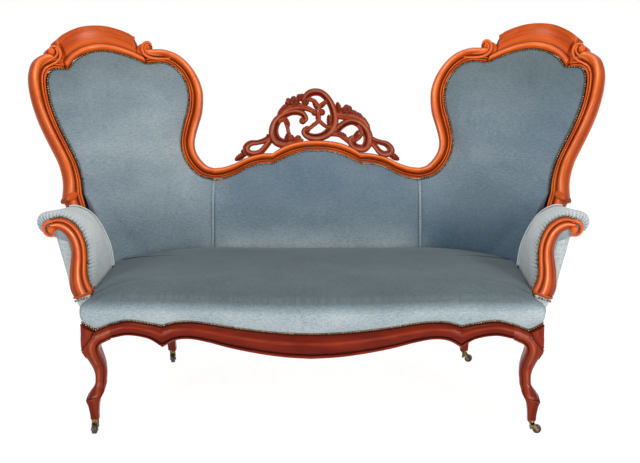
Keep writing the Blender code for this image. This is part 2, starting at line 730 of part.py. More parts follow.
def side_rail_path():
    """Centre line of a side rail: straight back from the leg, then round the rear corner."""
    straight = [(SEAT_HALF, LEG_BACK + GAP), (SEAT_HALF, BACK_Y - BEND_LOW)]
    centre = np.array((SEAT_HALF - BEND_LOW, BACK_Y - BEND_LOW))
    angles = np.radians(np.linspace(0.0, 90.0, 9))[1:]
    arc = centre + BEND_LOW * np.column_stack((np.cos(angles), np.sin(angles)))
    return np.vstack((straight, arc))


def build_hidden_rails():
    """Side rails bent round the rear corners, and the straight rear rail."""
    path = side_rail_path()
    run = np.gradient(path, axis=0)
    run[0] = (0.0, 1.0)
    run[1] = (0.0, 1.0)
    run[-1] = (-1.0, 0.0)
    run /= np.linalg.norm(run, axis=1, keepdims=True)
    rings = []
    for (x, y), (dx, dy) in zip(path, run):
        across = np.array((dy, -dx)) * 0.5 * RAIL_THICK
        spots = (np.array((x, y)) + across, np.array((x, y)) - across)
        low, high = SEAT_Z - RAIL_DEEP, SEAT_Z
        rings.append(np.array([(*spots[0], low), (*spots[1], low), (*spots[1], high), (*spots[0], high)]))
    for side, label in SIDES:
        mesh = loft("side_rail", [handed(ring, side) for ring in rings])
        add_object("side_seat_rail_" + label, mesh, HIDDEN_WOOD)
    end = SEAT_HALF - BEND_LOW - GAP
    low = (-end, BACK_Y - 0.5 * RAIL_THICK, SEAT_Z - RAIL_DEEP)
    high = (end, BACK_Y + 0.5 * RAIL_THICK, SEAT_Z)
    add_object("rear_seat_rail", box("rear_rail", low, high), HIDDEN_WOOD)


def nail_line(x):
    """Height of the upper edge of the front rail and of the leg heads, at a distance from the middle."""
    stations = apron_stations()
    dip = SEAT_HALF - NAIL_DIP_IN
    ends = np.array(((dip, SEAT_Z - NAIL_DIP), (SEAT_HALF + 0.016, SEAT_Z - 0.002)))
    xs = np.concatenate((stations[stations[:, 0] >= 0.0, 0], ends[:, 0]))
    zs = np.concatenate((stations[stations[:, 0] >= 0.0, 1], ends[:, 1]))
    return np.interp(np.abs(x), xs, zs)


def leg_ring(z, x_out, x_in, y_front, y_back, square):
    """One level of a front leg, a rectangle with rounded corners; square keeps its inner corners sharp."""
    ring = []
    dip = max(SEAT_HALF - NAIL_DIP_IN, 0.5 * (x_in + x_out))
    corners = ((x_out, y_front), (x_in, y_front), (x_in, y_back), (x_out, y_back))
    for k, (x, y) in enumerate(corners):
        soft = min(LEG_ROUND, 0.3 * (x_out - x_in), 0.3 * (y_back - y_front))
        if square and k in (1, 2):
            soft = 0.0005
        sx = math.copysign(1.0, x - 0.5 * (x_out + x_in))
        sy = math.copysign(1.0, y - 0.5 * (y_front + y_back))
        trio = [(x - sx * soft, y), (x - 0.3 * sx * soft, y - 0.3 * sy * soft), (x, y - sy * soft)]
        if k in (0, 2):
            trio.reverse()
        ring += trio
        if k in (0, 2):
            ring.append((dip, y))
    return np.column_stack((np.array(ring), np.full(len(ring), z)))


def build_front_legs():
    """Cabriole legs: foot with a scrolled toe, slim ankle, and a knee that runs into the front rail."""
    stem = SEAT_HALF - LEG_IN
    face = -(APRON_Y - 0.012)
    rings = []
    for height, x_out, x_in in FOOT_LEVELS:
        rings.append(leg_ring(FOOT_Z + height, stem + x_out, stem + x_in, -x_out, -x_in, False))
    joint = SEAT_HALF - APRON_JOINT + GAP
    for drop, x_out, x_in in KNEE_LEVELS:
        inner = max(stem + x_in, joint)
        front = -min(x_out + 0.010, face) if drop < 0.13 else -x_out
        back = min(-x_in, LEG_BACK)
        rings.append(leg_ring(SEAT_Z - drop, stem + x_out, inner, front, back, drop < 0.06))
    head = leg_ring(0.0, stem + 0.018, joint, APRON_Y, LEG_BACK, True)
    head[:, 2] = nail_line(head[:, 0])
    rings.append(head)
    for side, label in SIDES:
        mesh = loft("front_leg", [handed(ring, side) for ring in rings], fold=(3, 10))
        add_object("front_leg_" + label, mesh, DARK_WOOD)


def rear_leg_head():
    """Plan place of a rear leg's head, under the bent side rail."""
    angle = math.asin((BEND_LOW - REAR_LEG_IN) / BEND_LOW)
    return SEAT_HALF - REAR_LEG_IN, BACK_Y - BEND_LOW * (1.0 - math.cos(angle))


def build_rear_legs():
    """Square raked rear legs, standing under the rear corners."""
    x, y = rear_leg_head()
    rings = []
    head_z = SEAT_Z - RAIL_DEEP - WEB_THICK - CLOTH_THICK - 3 * GAP
    for share in (0.0, 0.35, 1.0):
        half = 0.5 * (REAR_LEG_TOP + share * (REAR_LEG_FOOT - REAR_LEG_TOP))
        back = y + REAR_LEG_RUN * share ** 1.4
        z = head_z + share * (FOOT_Z - head_z)
        corners = ((-1, -1), (1, -1), (1, 1), (-1, 1))
        rings.append(np.array([(x + a * half, back + b * half, z) for a, b in corners]))
    for side, label in SIDES:
        mesh = loft("rear_leg", [handed(ring, side) for ring in rings])
        add_object("rear_leg_" + label, mesh, DARK_WOOD)


# Section of an arm facing: share of the width from the nailed edge, forward of the plane
REEDS = (
    (0.0, 0.0), (0.10, 0.008), (0.22, 0.005), (0.36, 0.011), (0.52, 0.011), (0.64, 0.006), (0.80, 0.008),
    (1.0, 0.001), (1.0, -FACING_THICK), (0.0, -FACING_THICK),
)


def build_facings():
    """Scrolled wooden arm fronts, each with a boss in its scroll and a foot on the side rail."""
    section = np.array(REEDS)
    rings = []
    for row in from_corner(FACING):
        spot = row[:2] + section[:, :1] * (row[2:] - row[:2])
        rings.append(np.column_stack((spot[:, 0], FACING_FRONT - section[:, 1], spot[:, 1])))
    rings[-1][:, 2] = SEAT_Z + GAP
    turns = np.arange(ROUND_SIDES) * 2 * math.pi / ROUND_SIDES
    x, z = SEAT_HALF + BOSS[0], SEAT_Z + BOSS[1]
    rear = FACING_FRONT + 0.8 * FACING_THICK
    rim, top = BOSS_PROUD
    levels = ((rear, 1.0), (FACING_FRONT - rim, 1.0), (FACING_FRONT - top, 0.6))
    boss = []
    for y, share in levels:
        r = BOSS_RADIUS * share
        boss.append(np.column_stack((x + r * np.cos(turns), np.full(ROUND_SIDES, y), z + r * np.sin(turns))))
    for side, label in SIDES:
        facing = add_object("arm_facing_" + label, loft("facing", [handed(r, side) for r in rings]), WOOD)
        tool = add_object("boss_" + label, loft("boss", [handed(r, side) for r in boss]), None)
        combine(facing, tool, "UNION")


def arm_drop(rise, share):
    """How far a line of the arm at some height above the seat rails has sunk, at a share of the way back."""
    return ARM_FALL * share * np.clip(rise / ARM_TOP, 0.0, 1.0) ** 2


def build_arms():
    """Arm pads rolled over a hidden rail, and the covers on the outside of the arms."""
    rows = np.array(ARM_OUTER + ARM_INNER)
    start = FACING_FRONT + FACING_THICK + GAP
    outline = from_corner(rows[:, :2])
    outward = outline[:len(ARM_OUTER)] - outline[len(ARM_OUTER):].mean(axis=0)
    outward /= np.linalg.norm(outward, axis=1, keepdims=True)
    pad = []
    for share, swell in ((0.0, -0.004), (0.06, 0.0), (0.5, 0.003), (1.0, 0.0)):
        spot = outline.copy()
        spot[:, 0] += share**2 * (rows[:, 2] - rows[:, 0])
        spot[1:len(ARM_OUTER) - 1] += swell * outward[1:-1]
        spot[:, 1] -= arm_drop(rows[:, 1], share)
        pad.append(np.column_stack((spot[:, 0], start + share * (rows[:, 3] - start), spot[:, 1])))
    x0, x1, z0, z1 = ARM_RAIL
    bar = []
    for y in (start, ARM_RAIL_END):
        sunk = arm_drop(z1, (y - start) / (ARM_OUTER[0][3] - start))
        corners = ((x0, z0), (x1, z0), (x1, z1), (x0, z1))
        bar.append(np.array([(SEAT_HALF + x, y, SEAT_Z + z - sunk) for x, z in corners]))
    front = from_corner(ARM_SIDE)
    post = post_rings()
    levels = [ring[:, 2].min() for ring in post]
    sunk = front[:, 1] - arm_drop(front[:, 1] - SEAT_Z, 1.0)
    post_x = np.interp(sunk, levels, [ring[:, 0].max() for ring in post]) + 3 * GAP
    post_x = np.maximum(post_x, front[-1, 0])
    post_y = np.interp(sunk, levels, [ring[:, 1].min() for ring in post])
    columns = (
        (front[:, 0], np.full(len(front), start), front[:, 1]),
        (post_x, post_y - 0.25 * POST_DEPTH, sunk),
        (post_x, post_y + 1.8 * POST_DEPTH, sunk),
    )
    for side, label in SIDES:
        add_object("arm_pad_" + label, loft("arm_pad", [handed(r, side) for r in pad]), FABRIC)
        rail = loft("arm_rail", [handed(ring, side) for ring in bar])
        add_object("arm_rail_" + label, rail, HIDDEN_WOOD)
        rings = []
        for x, y, z in columns:
            inner = np.column_stack((x, y, z))
            outer = inner + (COVER_THICK, 0.0, 0.0)
            rings.append(handed(np.vstack((inner, outer[::-1])), side))
        add_object("outside_arm_cover_" + label, loft("arm_cover", rings), FABRIC)


def nailed_edge():
    """The inner edge of the frame over one raised end, from the arm up, across and down to the joint."""
    return np.vstack((
        from_corner(UPRIGHT)[:, 2:],
        from_corner(TABLET)[::-1][1:-1, 2:],
        from_corner(SHOULDER)[:, 2:],
    ))


def nail_distance(x, z):
    """Distance from places on the back to the nearest nailed edge of the frame."""
    lines = [smooth(nailed_edge(), 4), smooth(centre_stations()[:, 2:], 4)]
    edge = np.vstack(lines + [lines[0] * (-1.0, 1.0)])
    return np.sqrt((x[:, None] - edge[:, 0]) ** 2 + (z[:, None] - edge[:, 1]) ** 2).min(axis=1)


def rounded(share):
    """A quarter round from 0 to 1."""
    return 1.0 - (1.0 - np.clip(share, 0.0, 1.0)) ** 2


def pad_front(x, z):
    """Height of the back's upholstery out of the surface."""
    x = np.atleast_1d(np.asarray(x, float))
    z = np.atleast_1d(np.asarray(z, float))
    share = np.clip((z - SEAT_Z) / BEND_RISE, 0.0, 1.0)
    full = PAD_FULL_LOW + share * (PAD_FULL_HIGH - PAD_FULL_LOW)
    seam = from_corner(ARM_SEAM)
    gap = np.abs(x)[:, None] - seam[None, :, 0]
    to_seam = np.sqrt(gap**2 + (z[:, None] - seam[None, :, 1]) ** 2).min(axis=1)
    held = 0.55 + 0.45 * rounded(to_seam / (2 * PAD_ROLL))
    dip = SEAM_DIP * np.exp(-(((np.abs(x) - SEAT_HALF + SEAM_IN) / SEAM_WIDE) ** 2))
    return PAD_EDGE + full * held * rounded(nail_distance(x, z) / PAD_ROLL) - dip


def cover_front(x, z):
    """Height of an outside back cover's inner face out of the surface."""
    return np.full(len(x), COVER_THICK - FRAME_REAR)


def back_outline(lower):
    """Outline of a raised end's upholstery: the nailed edge, the seam, the lower edge, then up the arm."""
    seam_x = SEAT_HALF - SEAM_IN + GAP
    low_z = lower[-1][1]
    radius, flat = bend_at(SEAT_Z + low_z)
    turn = math.asin(min((SEAT_HALF + lower[-1][0] - flat) / radius, 0.99))
    bottom = np.append(seam_x, flat + radius * np.sin(np.linspace(0.1, 1.0, 9)[:-1] * turn))
    side = np.array([(seam_x, z) for z in np.linspace(SHOULDER[-1][3] - GAP, low_z, 5)[1:]])
    side[:, 1] += SEAT_Z
    foot = np.column_stack((bottom[1:], np.full(len(bottom) - 1, SEAT_Z + low_z)))
    outline = np.vstack((nailed_edge()[1:], side, foot, from_corner(lower)[::-1]))
    centre = np.array((SEAT_HALF + PAD_CENTRE[0], SEAT_Z + PAD_CENTRE[1]))
    inward = centre - outline
    inward /= np.linalg.norm(inward, axis=1, keepdims=True)
    return outline + 2.5 * GAP * inward, centre


def middle_outline(low_z):
    """Outline of the middle of the back, below the centre rail."""
    top = centre_stations()[:, 2:].copy()
    top[:, 1] -= 2.5 * GAP
    top[0, 0] += GAP
    top[-1, 0] -= GAP
    right = np.array([(top[-1, 0], z) for z in np.linspace(top[-1, 1], SEAT_Z + low_z, 5)[1:]])
    bottom = np.array([(x, SEAT_Z + low_z) for x in np.linspace(top[-1, 0], top[0, 0], 9)[1:-1]])
    left = right[::-1] * (-1.0, 1.0)
    return np.vstack((top, right, bottom, left)), np.array((0.0, SEAT_Z + 0.5 * (low_z + CENTRE_RAIL[0][2])))


def back_skin(name, outline, centre, front, rear, shares, rear_shares):
    """A closed pad on the back's surface: rings shrink from the outline to its centre, front and rear."""
    rings = []
    for share in shares[::-1]:
        spot = centre + share * (outline - centre)
        rings.append(back_point(spot[:, 0], spot[:, 1], front(spot[:, 0], spot[:, 1])))
    for share in rear_shares:
        spot = centre + share * (outline - centre)
        rings.append(back_point(spot[:, 0], spot[:, 1], rear))
    return loft(name, rings, "pole")


def build_back_upholstery():
    """Three crowned inside back pads and three flat outside covers."""
    outline, centre = back_outline(ARM_SEAM)
    cover, cover_centre = back_outline(COVER_SEAM)
    shares = (1.0, 0.93, 0.80, 0.58, 0.30)
    few = (1.0, 0.62, 0.30)
    more = (1.0, 0.85, 0.62, 0.30)
    for side, label in SIDES:
        flip = np.array((side, 1.0))
        pad = back_skin("back_pad", outline * flip, centre * flip, pad_front, PAD_REAR, shares, few)
        add_object("back_pad_" + label, pad, FABRIC)
        edge, middle = cover * flip, cover_centre * flip
        skin = back_skin("back_cover", edge, middle, cover_front, -FRAME_REAR, more, more)
        add_object("outside_back_cover_" + label, skin, FABRIC)
    outline, centre = middle_outline(PAD_LOW)
    pad = back_skin("back_pad", outline, centre, pad_front, PAD_REAR, shares, few)
    add_object("back_pad_centre", pad, FABRIC)
    outline, centre = middle_outline(-RAIL_DEEP)
    skin = back_skin("back_cover", outline, centre, cover_front, -FRAME_REAR, (1.0, 0.5), (1.0, 0.5))
    add_object("outside_back_cover_centre", skin, FABRIC)


def back_bar(name, edge_a, edge_b):
    """A plain hidden bar on the back's surface between two edges of x, z points."""
    section = ((0.0, STILE_REAR), (0.0, STILE_FRONT), (1.0, STILE_FRONT), (1.0, STILE_REAR))
    rings = [back_ring(np.concatenate((a, b)), section) for a, b in zip(edge_a, edge_b)]
    for ring in rings:
        ring[:, 2] = np.maximum(ring[:, 2], SEAT_Z + GAP)
    return loft(name, rings)


def build_back_frame():
    """Hidden stiles under the joints of the top rails, and the lower back rails between them."""
    joint = SEAT_HALF - SEAM_IN
    top = SEAT_Z + SHOULDER[-1][3] - 3 * GAP
    levels = np.linspace(SEAT_Z + GAP, top, 3)
    low, high = SEAT_Z + LOWER_RAIL[0], SEAT_Z + LOWER_RAIL[1]
    inner, outer = joint - 0.5 * STILE_WIDE, joint + 0.5 * STILE_WIDE
    for side, label in SIDES:
        edges = [np.array([(side * x, z) for z in levels]) for x in (inner, outer)]
        add_object("inner_stile_" + label, back_bar("stile", *edges), HIDDEN_WOOD)
        reach = np.linspace(outer + GAP, SEAT_HALF - LOWER_RAIL_IN, 7)
        edges = [np.array([(side * x, z) for x in reach]) for z in (low, high)]
        add_object("lower_back_rail_" + label, back_bar("lower_rail", *edges), HIDDEN_WOOD)
    reach = np.linspace(-inner + GAP, inner - GAP, 2)
    edges = [np.array([(x, z) for x in reach]) for z in (low, high)]
    add_object("lower_back_rail_centre", back_bar("lower_rail", *edges), HIDDEN_WOOD)


def seat_outline():
    """Right half of the seat's plan from the middle of its front to the middle of its rear.

    Each row holds x, y, the height of the lower edge and how much of the front's roll it has.
    """
    stations = apron_stations()
    rows = [(x, apron_face(x), z + GAP, 1.0) for x, z, _ in stations[stations[:, 0] >= 0.0]]
    ear = SEAT_HALF + SEAT_EAR
    face = APRON_Y - 0.012
    for x in (SEAT_HALF - APRON_JOINT + 0.004, SEAT_HALF - NAIL_DIP_IN, ear - 0.012):
        rows.append((x, APRON_Y, nail_line(x) + 2 * GAP, 1.0))
    base = SEAT_Z + SEAT_BASE
    rows.append((ear - 0.002, face + 0.026, base, 1.0))
    rows.append((ear, 0.008, base, 0.7))
    ear_end = FACING_FRONT - 0.024
    rows.append((ear, ear_end, base, 0.0))
    side = SEAT_HALF - SEAT_SIDE_IN
    rows.append((side, ear_end, base, 0.0))
    rear_z = SEAT_Z + PAD_LOW
    outline = back_outline(ARM_SEAM)[0]
    low = outline[np.abs(outline[:, 1] - rear_z) < 0.004]
    low = low[np.argsort(-low[:, 0])]
    places = np.vstack((low, np.column_stack((np.linspace(low[-1, 0], 0.0, 6)[1:], np.full(5, rear_z)))))
    rear = back_point(places[:, 0], places[:, 1], pad_front(places[:, 0], places[:, 1]) + 0.0015)
    rear = rear[rear[:, 0] <= side]
    for y in np.linspace(ear_end, rear[0, 1], 5)[1:-1]:
        rows.append((side, y, base, 0.0))
    rows += [(x, y, base, 0.0) for x, y, _ in rear]
    return np.array(rows)


def build_seat():
    """Sprung seat: crowned top, rolled front edge, and a lower edge that follows the front rail."""
    half = seat_outline()
    left = half[1:-1][::-1] * (-1.0, 1.0, 1.0, 1.0)
    rows = np.vstack((half, left))
    plan, low, roll = rows[:, :2], rows[:, 2], rows[:, 3]
    centre = np.array((0.0, 0.5 * (plan[0, 1] + half[-1, 1])))
    outward = (plan - centre) / np.linalg.norm(plan - centre, axis=1, keepdims=True)
    outward[roll > 0.9, 0] *= 0.2
    over_leg = np.abs(plan[:, 0]) > SEAT_HALF - APRON_JOINT - GAP
    ear = np.clip((np.abs(plan[:, 0]) - SEAT_HALF + APRON_JOINT) / APRON_JOINT, 0.0, 1.0)
    ear[plan[:, 1] >= FACING_FRONT] = 0.0
    fall = SEAT_EAR_FALL * ear**2
    edge = SEAT_Z + SEAT_EDGE
    top = edge - fall
    rings = []
    levels = ((0.0, 0.0, 0.0), (0.22, 0.75, 0.0), (0.55, 1.0, 0.0), (0.85, 0.6, 0.0), (1.0, -0.4, 0.008))
    for share, swell, inset in levels:
        spot = plan + outward * (SEAT_BULGE * swell * roll - inset)[:, None]
        rings.append(np.column_stack((spot, low + share * (top - low))))
    for share in (0.90, 0.72, 0.45):
        spot = centre + share * (plan - centre)
        away = (1.0 - share) * np.linalg.norm(plan - centre, axis=1)
        lift = SEAT_CROWN * rounded(away / SEAT_ROLL) - fall * share**SEAT_EAR_FADE
        rings.append(np.column_stack((spot, edge + lift)))
    ledge = plan.copy()
    on_wood = roll > 0.9
    ledge[on_wood & ~over_leg, 1] += APRON_THICK + 0.004
    ledge[on_wood & over_leg, 1] = LEG_BACK
    bottom = centre + 0.90 * (ledge - centre)
    floor = np.full(len(plan), SEAT_Z + SEAT_BASE)
    base = [np.column_stack((bottom, floor)), np.column_stack((ledge, floor)), np.column_stack((ledge, low))]
    add_object("seat_pad", loft("seat_pad", base + rings, "pole"), FABRIC)


def build_under_seat():
    """Woven webbing under the rails, a cloth below it, and a block in each corner of the seat frame."""
    under = SEAT_Z - RAIL_DEEP
    half_x = SEAT_HALF - 0.5 * RAIL_THICK
    front = LEG_BACK + GAP
    rear = BACK_Y - BEND_LOW
    builder = bmesh.new()
    xs = strap_edges(-half_x, half_x, WEB_COLUMNS)
    ys = strap_edges(front, rear, WEB_ROWS)
    grid = [[builder.verts.new((x, y, under - GAP - WEB_THICK)) for y in ys] for x in xs]
    faces = []
    for i in range(len(xs) - 1):
        for j in range(len(ys) - 1):
            if i % 2 and j % 2:
                continue
            corners = (grid[i][j], grid[i + 1][j], grid[i + 1][j + 1], grid[i][j + 1])
            faces.append(builder.faces.new(corners))
    lifted = bmesh.ops.extrude_face_region(builder, geom=faces)["geom"]
    rise = [vertex for vertex in lifted if isinstance(vertex, bmesh.types.BMVert)]
    bmesh.ops.translate(builder, verts=rise, vec=(0.0, 0.0, WEB_THICK))
    add_object("seat_webbing", close_mesh("webbing", builder), WEBBING)
    path = side_rail_path()[1:]
    right = np.vstack(((half_x, front), path - np.array((0.25 * RAIL_THICK, 0.0))))
    plan = np.vstack((right, right[::-1] * (-1.0, 1.0)))
    top = under - 2 * GAP - WEB_THICK
    rings = [np.column_stack((plan, np.full(len(plan), z))) for z in (top - CLOTH_THICK, top)]
    add_object("bottom_cloth", loft("bottom_cloth", rings), WEBBING)
    inner = SEAT_HALF - 0.5 * RAIL_THICK - GAP
    corner = BACK_Y - 0.5 * RAIL_THICK - GAP
    for side, label in SIDES:
        front_block = ((inner, front), (inner - BLOCK, front), (inner, front + BLOCK))
        rear_x = SEAT_HALF - BEND_LOW
        rear_block = ((rear_x, corner), (rear_x - BLOCK, corner), (rear_x - BLOCK, corner - BLOCK))
        for place, spots in (("front", front_block), ("rear", rear_block)):
            rings = [[(side * x, y, z) for x, y in spots] for z in (SEAT_Z - BLOCK_DEEP, SEAT_Z - GAP)]
            name = "corner_block_%s_%s" % (place, label)
            add_object(name, loft("corner_block", np.array(rings)), HIDDEN_WOOD)


def strap_edges(low, high, count):
    """Edges of evenly spaced webbing straps across a span, in order."""
    pitch = (high - low - WEB_STRAP) / count
    return [low + k * pitch + edge for k in range(count + 1) for edge in (0.0, WEB_STRAP)]


def evaluated(thing):
    """The finished mesh of an object, for several copies to share."""
    graph = bpy.context.evaluated_depsgraph_get()
    mesh = bpy.data.meshes.new_from_object(thing.evaluated_get(graph))
    for change in list(thing.modifiers):
        bpy.data.objects.remove(change.object, do_unlink=True)
    bpy.data.objects.remove(thing, do_unlink=True)
    return mesh


def round_levels(levels):
    """Rings about Z from pairs of height and radius."""
    turns = np.arange(ROUND_SIDES) * 2 * math.pi / ROUND_SIDES
    circle = np.column_stack((np.cos(turns), np.sin(turns), np.zeros(ROUND_SIDES)))
    return [circle * radius + (0.0, 0.0, z) for z, radius in levels]


def fork_mesh():
    """Caster fork: a plate with its stem, two cheeks that trail to the axle, and the axle's eyes."""
    top = FOOT_Z - 2 * GAP - SOCKET_THICK
    plate = top - FORK_PLATE
    stem = FOOT_Z - 3 * GAP
    inner = 0.5 * WHEEL_WIDE + CHEEK_CLEAR
    outer = inner + CHEEK
    levels = ((plate, FORK_RADIUS), (top, FORK_RADIUS), (top, STEM_RADIUS), (stem, STEM_RADIUS))
    fork = add_object("fork_body", loft("fork_body", round_levels(levels)), METAL, None)
    eye = 2.2 * AXLE_RADIUS
    round_end = np.radians(np.linspace(-120.0, 60.0, 7))
    outline = [(-0.45 * FORK_RADIUS, plate + 0.4 * FORK_PLATE), (-0.45 * FORK_RADIUS, plate - 0.002)]
    outline += [(TRAIL + eye * math.cos(a), WHEEL_RADIUS + eye * math.sin(a)) for a in round_end]
    outline += [(0.75 * FORK_RADIUS, plate + 0.4 * FORK_PLATE)]
    for number, (y0, y1) in enumerate(((-outer, -inner), (inner, outer))):
        rings = [np.array([(x, y, z) for x, z in outline]) for y in (y0, y1)]
        combine(fork, add_object("cheek_%d" % number, loft("cheek", rings), None, None), "UNION")
    span = np.array([(x, z) for x, z in ((-0.45 * FORK_RADIUS, plate), (-0.45 * FORK_RADIUS, plate + 0.0024),
                                         (0.75 * FORK_RADIUS, plate + 0.0024), (0.75 * FORK_RADIUS, plate))])
    rings = [np.array([(x, y, z) for x, z in span]) for y in (-outer, outer)]
    combine(fork, add_object("fork_bridge", loft("bridge", rings), None, None), "UNION")
    hole = AXLE_RADIUS + BORE_CLEAR
    turns = np.arange(ROUND_SIDES) * 2 * math.pi / ROUND_SIDES
    rings = [[(TRAIL + hole * math.cos(a), y, WHEEL_RADIUS + hole * math.sin(a)) for a in turns]
             for y in (-2 * outer, 2 * outer)]
    combine(fork, add_object("eye_drill", loft("drill", np.array(rings)), None, None), "DIFFERENCE")
    return evaluated(fork)


def caster_meshes():
    """Meshes of socket, fork, axle and wheel, with the wheel and axle turned about their own Z."""
    bore = STEM_RADIUS + BORE_CLEAR
    low, high = FOOT_Z - GAP - SOCKET_THICK, FOOT_Z - GAP
    socket = ((SOCKET_RADIUS, high), (0.85 * SOCKET_RADIUS, low), (bore, low), (bore, high))
    half = 0.5 * WHEEL_WIDE
    bore = AXLE_RADIUS + BORE_CLEAR
    edge = WHEEL_RADIUS / math.cos(math.pi / WHEEL_SIDES)
    wheel = ((edge, 0.6 * half), (edge, -0.6 * half), (0.88 * edge, -half), (bore, -half), (bore, half),
             (0.88 * edge, half))
    reach = half + CHEEK_CLEAR + CHEEK + GAP
    end = reach + AXLE_DOME
    half_axle = ((reach, AXLE_RADIUS), (reach, AXLE_HEAD), (end, 0.6 * AXLE_HEAD))
    levels = tuple((-z, r) for z, r in reversed(half_axle)) + half_axle
    rings = round_levels(levels)
    start = math.pi / WHEEL_SIDES
    return (lathe("socket", socket, ROUND_SIDES), fork_mesh(), loft("axle", rings),
            lathe("wheel", wheel, WHEEL_SIDES, start))


def build_casters():
    """Four casters; each fork and its wheel hang from an empty on the stem's axis."""
    socket, fork, axle, wheel = caster_meshes()
    x, y = rear_leg_head()
    feet = {"front": (SEAT_HALF - LEG_IN, 0.0), "rear": (x, y + REAR_LEG_RUN)}
    for label, turn in CASTERS:
        row, hand = label.split("_")
        place_x, place_y = feet[row]
        spot = (place_x if hand == "right" else -place_x, place_y, 0.0)
        add_object("caster_socket_" + label, socket, METAL).location = spot
        pivot = bpy.data.objects.new("swivel_" + label, None)
        bpy.context.scene.collection.objects.link(pivot)
        pivot.parent = ROOT
        pivot.location = spot
        pivot.rotation_euler = (0.0, 0.0, math.radians(turn))
        add_object("caster_fork_" + label, fork, METAL, pivot)
        for name, mesh, finish in (("caster_axle_", axle, METAL), ("caster_wheel_", wheel, TREAD)):
            piece = add_object(name + label, mesh, finish, pivot)
            piece.location = (TRAIL, 0.0, WHEEL_RADIUS)
            piece.rotation_euler = (math.radians(90.0), 0.0, 0.0)


def centre_on_footprint():
    """Moves the settee so that its depth is centred on the origin."""
    bpy.context.view_layer.update()
    graph = bpy.context.evaluated_depsgraph_get()
    reach = []
    for thing in bpy.data.objects:
        if thing.type == "MESH" and not thing.hide_render:
            solid = thing.evaluated_get(graph)
            reach += [(thing.matrix_world @ vertex.co).y for vertex in solid.data.vertices]
    ROOT.location.y = -0.5 * (min(reach) + max(reach))


build_front_rail()
build_front_legs()
build_rear_legs()
build_hidden_rails()
build_uprights()
build_tablets()
build_shoulders()
build_centre_rail()
build_crest()
build_facings()
build_arms()
build_back_frame()
build_back_upholstery()
build_seat()
build_under_seat()
build_casters()
centre_on_footprint()
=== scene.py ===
"""Looks of an upholstered settee: polished show wood, a pierced carved crest, nailed velvet and casters.

Metres, +Z up, the front faces -Y. Outlines are measured from the seat corner, x outwards and z up, and
y from the front legs' stems, as the solids have them. The frame's own joints say where the stems stand.
"""

from __future__ import annotations

import json
import logging
import math
from dataclasses import dataclass, field
from enum import Enum
from typing import Any, Sequence, Union

import bmesh
import bpy
import numpy as np
from mathutils import Matrix

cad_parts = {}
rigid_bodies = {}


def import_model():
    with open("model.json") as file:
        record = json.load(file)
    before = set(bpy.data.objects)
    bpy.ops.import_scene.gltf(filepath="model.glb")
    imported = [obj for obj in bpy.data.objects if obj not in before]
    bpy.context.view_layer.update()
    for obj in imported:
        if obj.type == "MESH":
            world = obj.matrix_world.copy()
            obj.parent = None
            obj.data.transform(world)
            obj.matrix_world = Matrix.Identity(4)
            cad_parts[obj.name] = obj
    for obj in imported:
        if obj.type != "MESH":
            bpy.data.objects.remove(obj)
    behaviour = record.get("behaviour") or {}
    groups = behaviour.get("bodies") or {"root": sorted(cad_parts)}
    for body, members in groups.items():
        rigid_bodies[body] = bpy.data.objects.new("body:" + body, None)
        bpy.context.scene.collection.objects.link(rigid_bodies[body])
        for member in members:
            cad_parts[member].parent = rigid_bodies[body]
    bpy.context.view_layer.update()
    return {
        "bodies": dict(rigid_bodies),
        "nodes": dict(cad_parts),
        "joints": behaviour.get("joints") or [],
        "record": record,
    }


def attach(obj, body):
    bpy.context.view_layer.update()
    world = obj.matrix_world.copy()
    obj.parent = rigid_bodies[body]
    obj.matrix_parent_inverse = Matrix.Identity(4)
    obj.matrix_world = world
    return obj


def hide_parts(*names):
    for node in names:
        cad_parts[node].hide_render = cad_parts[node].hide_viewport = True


LOG = logging.getLogger("settee")
BODY = "frame"
Array = np.ndarray
Rows = Sequence[Sequence[float]]
Colour = tuple[float, float, float]
WHITE: Colour = (1.0, 1.0, 1.0)


class Side(Enum):
    """The two hands of the settee, as seen from the front."""

    LEFT = -1.0
    RIGHT = 1.0

    @property
    def label(self) -> str:
        """The hand as a node's name has it."""
        return self.name.lower()


class Slot(Enum):
    """Material slots of the record."""

    WOOD = "mahogany"
    DARK_WOOD = "dark_mahogany"
    BEECH = "beech"
    VELVET = "velvet"
    JUTE = "jute"
    BRASS = "brass"
    WHEEL = "wheel"


def curve(points: Rows, steps: int) -> Array:
    """A Catmull-Rom curve through rows of numbers.

    Args:
        points: Rows that the curve passes through.
        steps: Points in each span.

    Returns:
        The rows of the curve, both ends included.
    """
    rows = np.asarray(points, float)
    row = np.vstack((2 * rows[:1] - rows[1:2], rows, 2 * rows[-1:] - rows[-2:-1]))
    a, b, c, d = (row[k:len(row) - 3 + k, None, :] for k in range(4))
    t = np.linspace(0.0, 1.0, steps, endpoint=False)[None, :, None]
    low = 2 * b + (c - a) * t + (2 * a - 5 * b + 4 * c - d) * t**2
    spans = 0.5 * (low + (3 * b - a - 3 * c + d) * t**3)
    return np.vstack((spans.reshape(-1, rows.shape[1]), rows[-1:]))


def chain(runs: Sequence[Rows], steps: int) -> Array:
    """Curves joined end to end, with a corner where each starts.

    Args:
        runs: Rows of each curve; a run starts with the row that ends the one before.
        steps: Points in each span.

    Returns:
        The rows of all the curves, in order.
    """
    parts = [curve(run, steps) for run in runs]
    return np.vstack([parts[0]] + [part[1:] for part in parts[1:]])


def travel(line: Array) -> Array:
    """Distance along a line at each of its points."""
    steps = np.linalg.norm(np.diff(line, axis=0), axis=1)
    return np.concatenate(((0.0,), np.cumsum(steps)))


def at_distance(line: Array, distance: Array) -> Array:
    """Rows of a line at given distances along it."""
    run = travel(line)
    return np.stack([np.interp(distance, run, line[:, k]) for k in range(line.shape[1])], axis=-1)


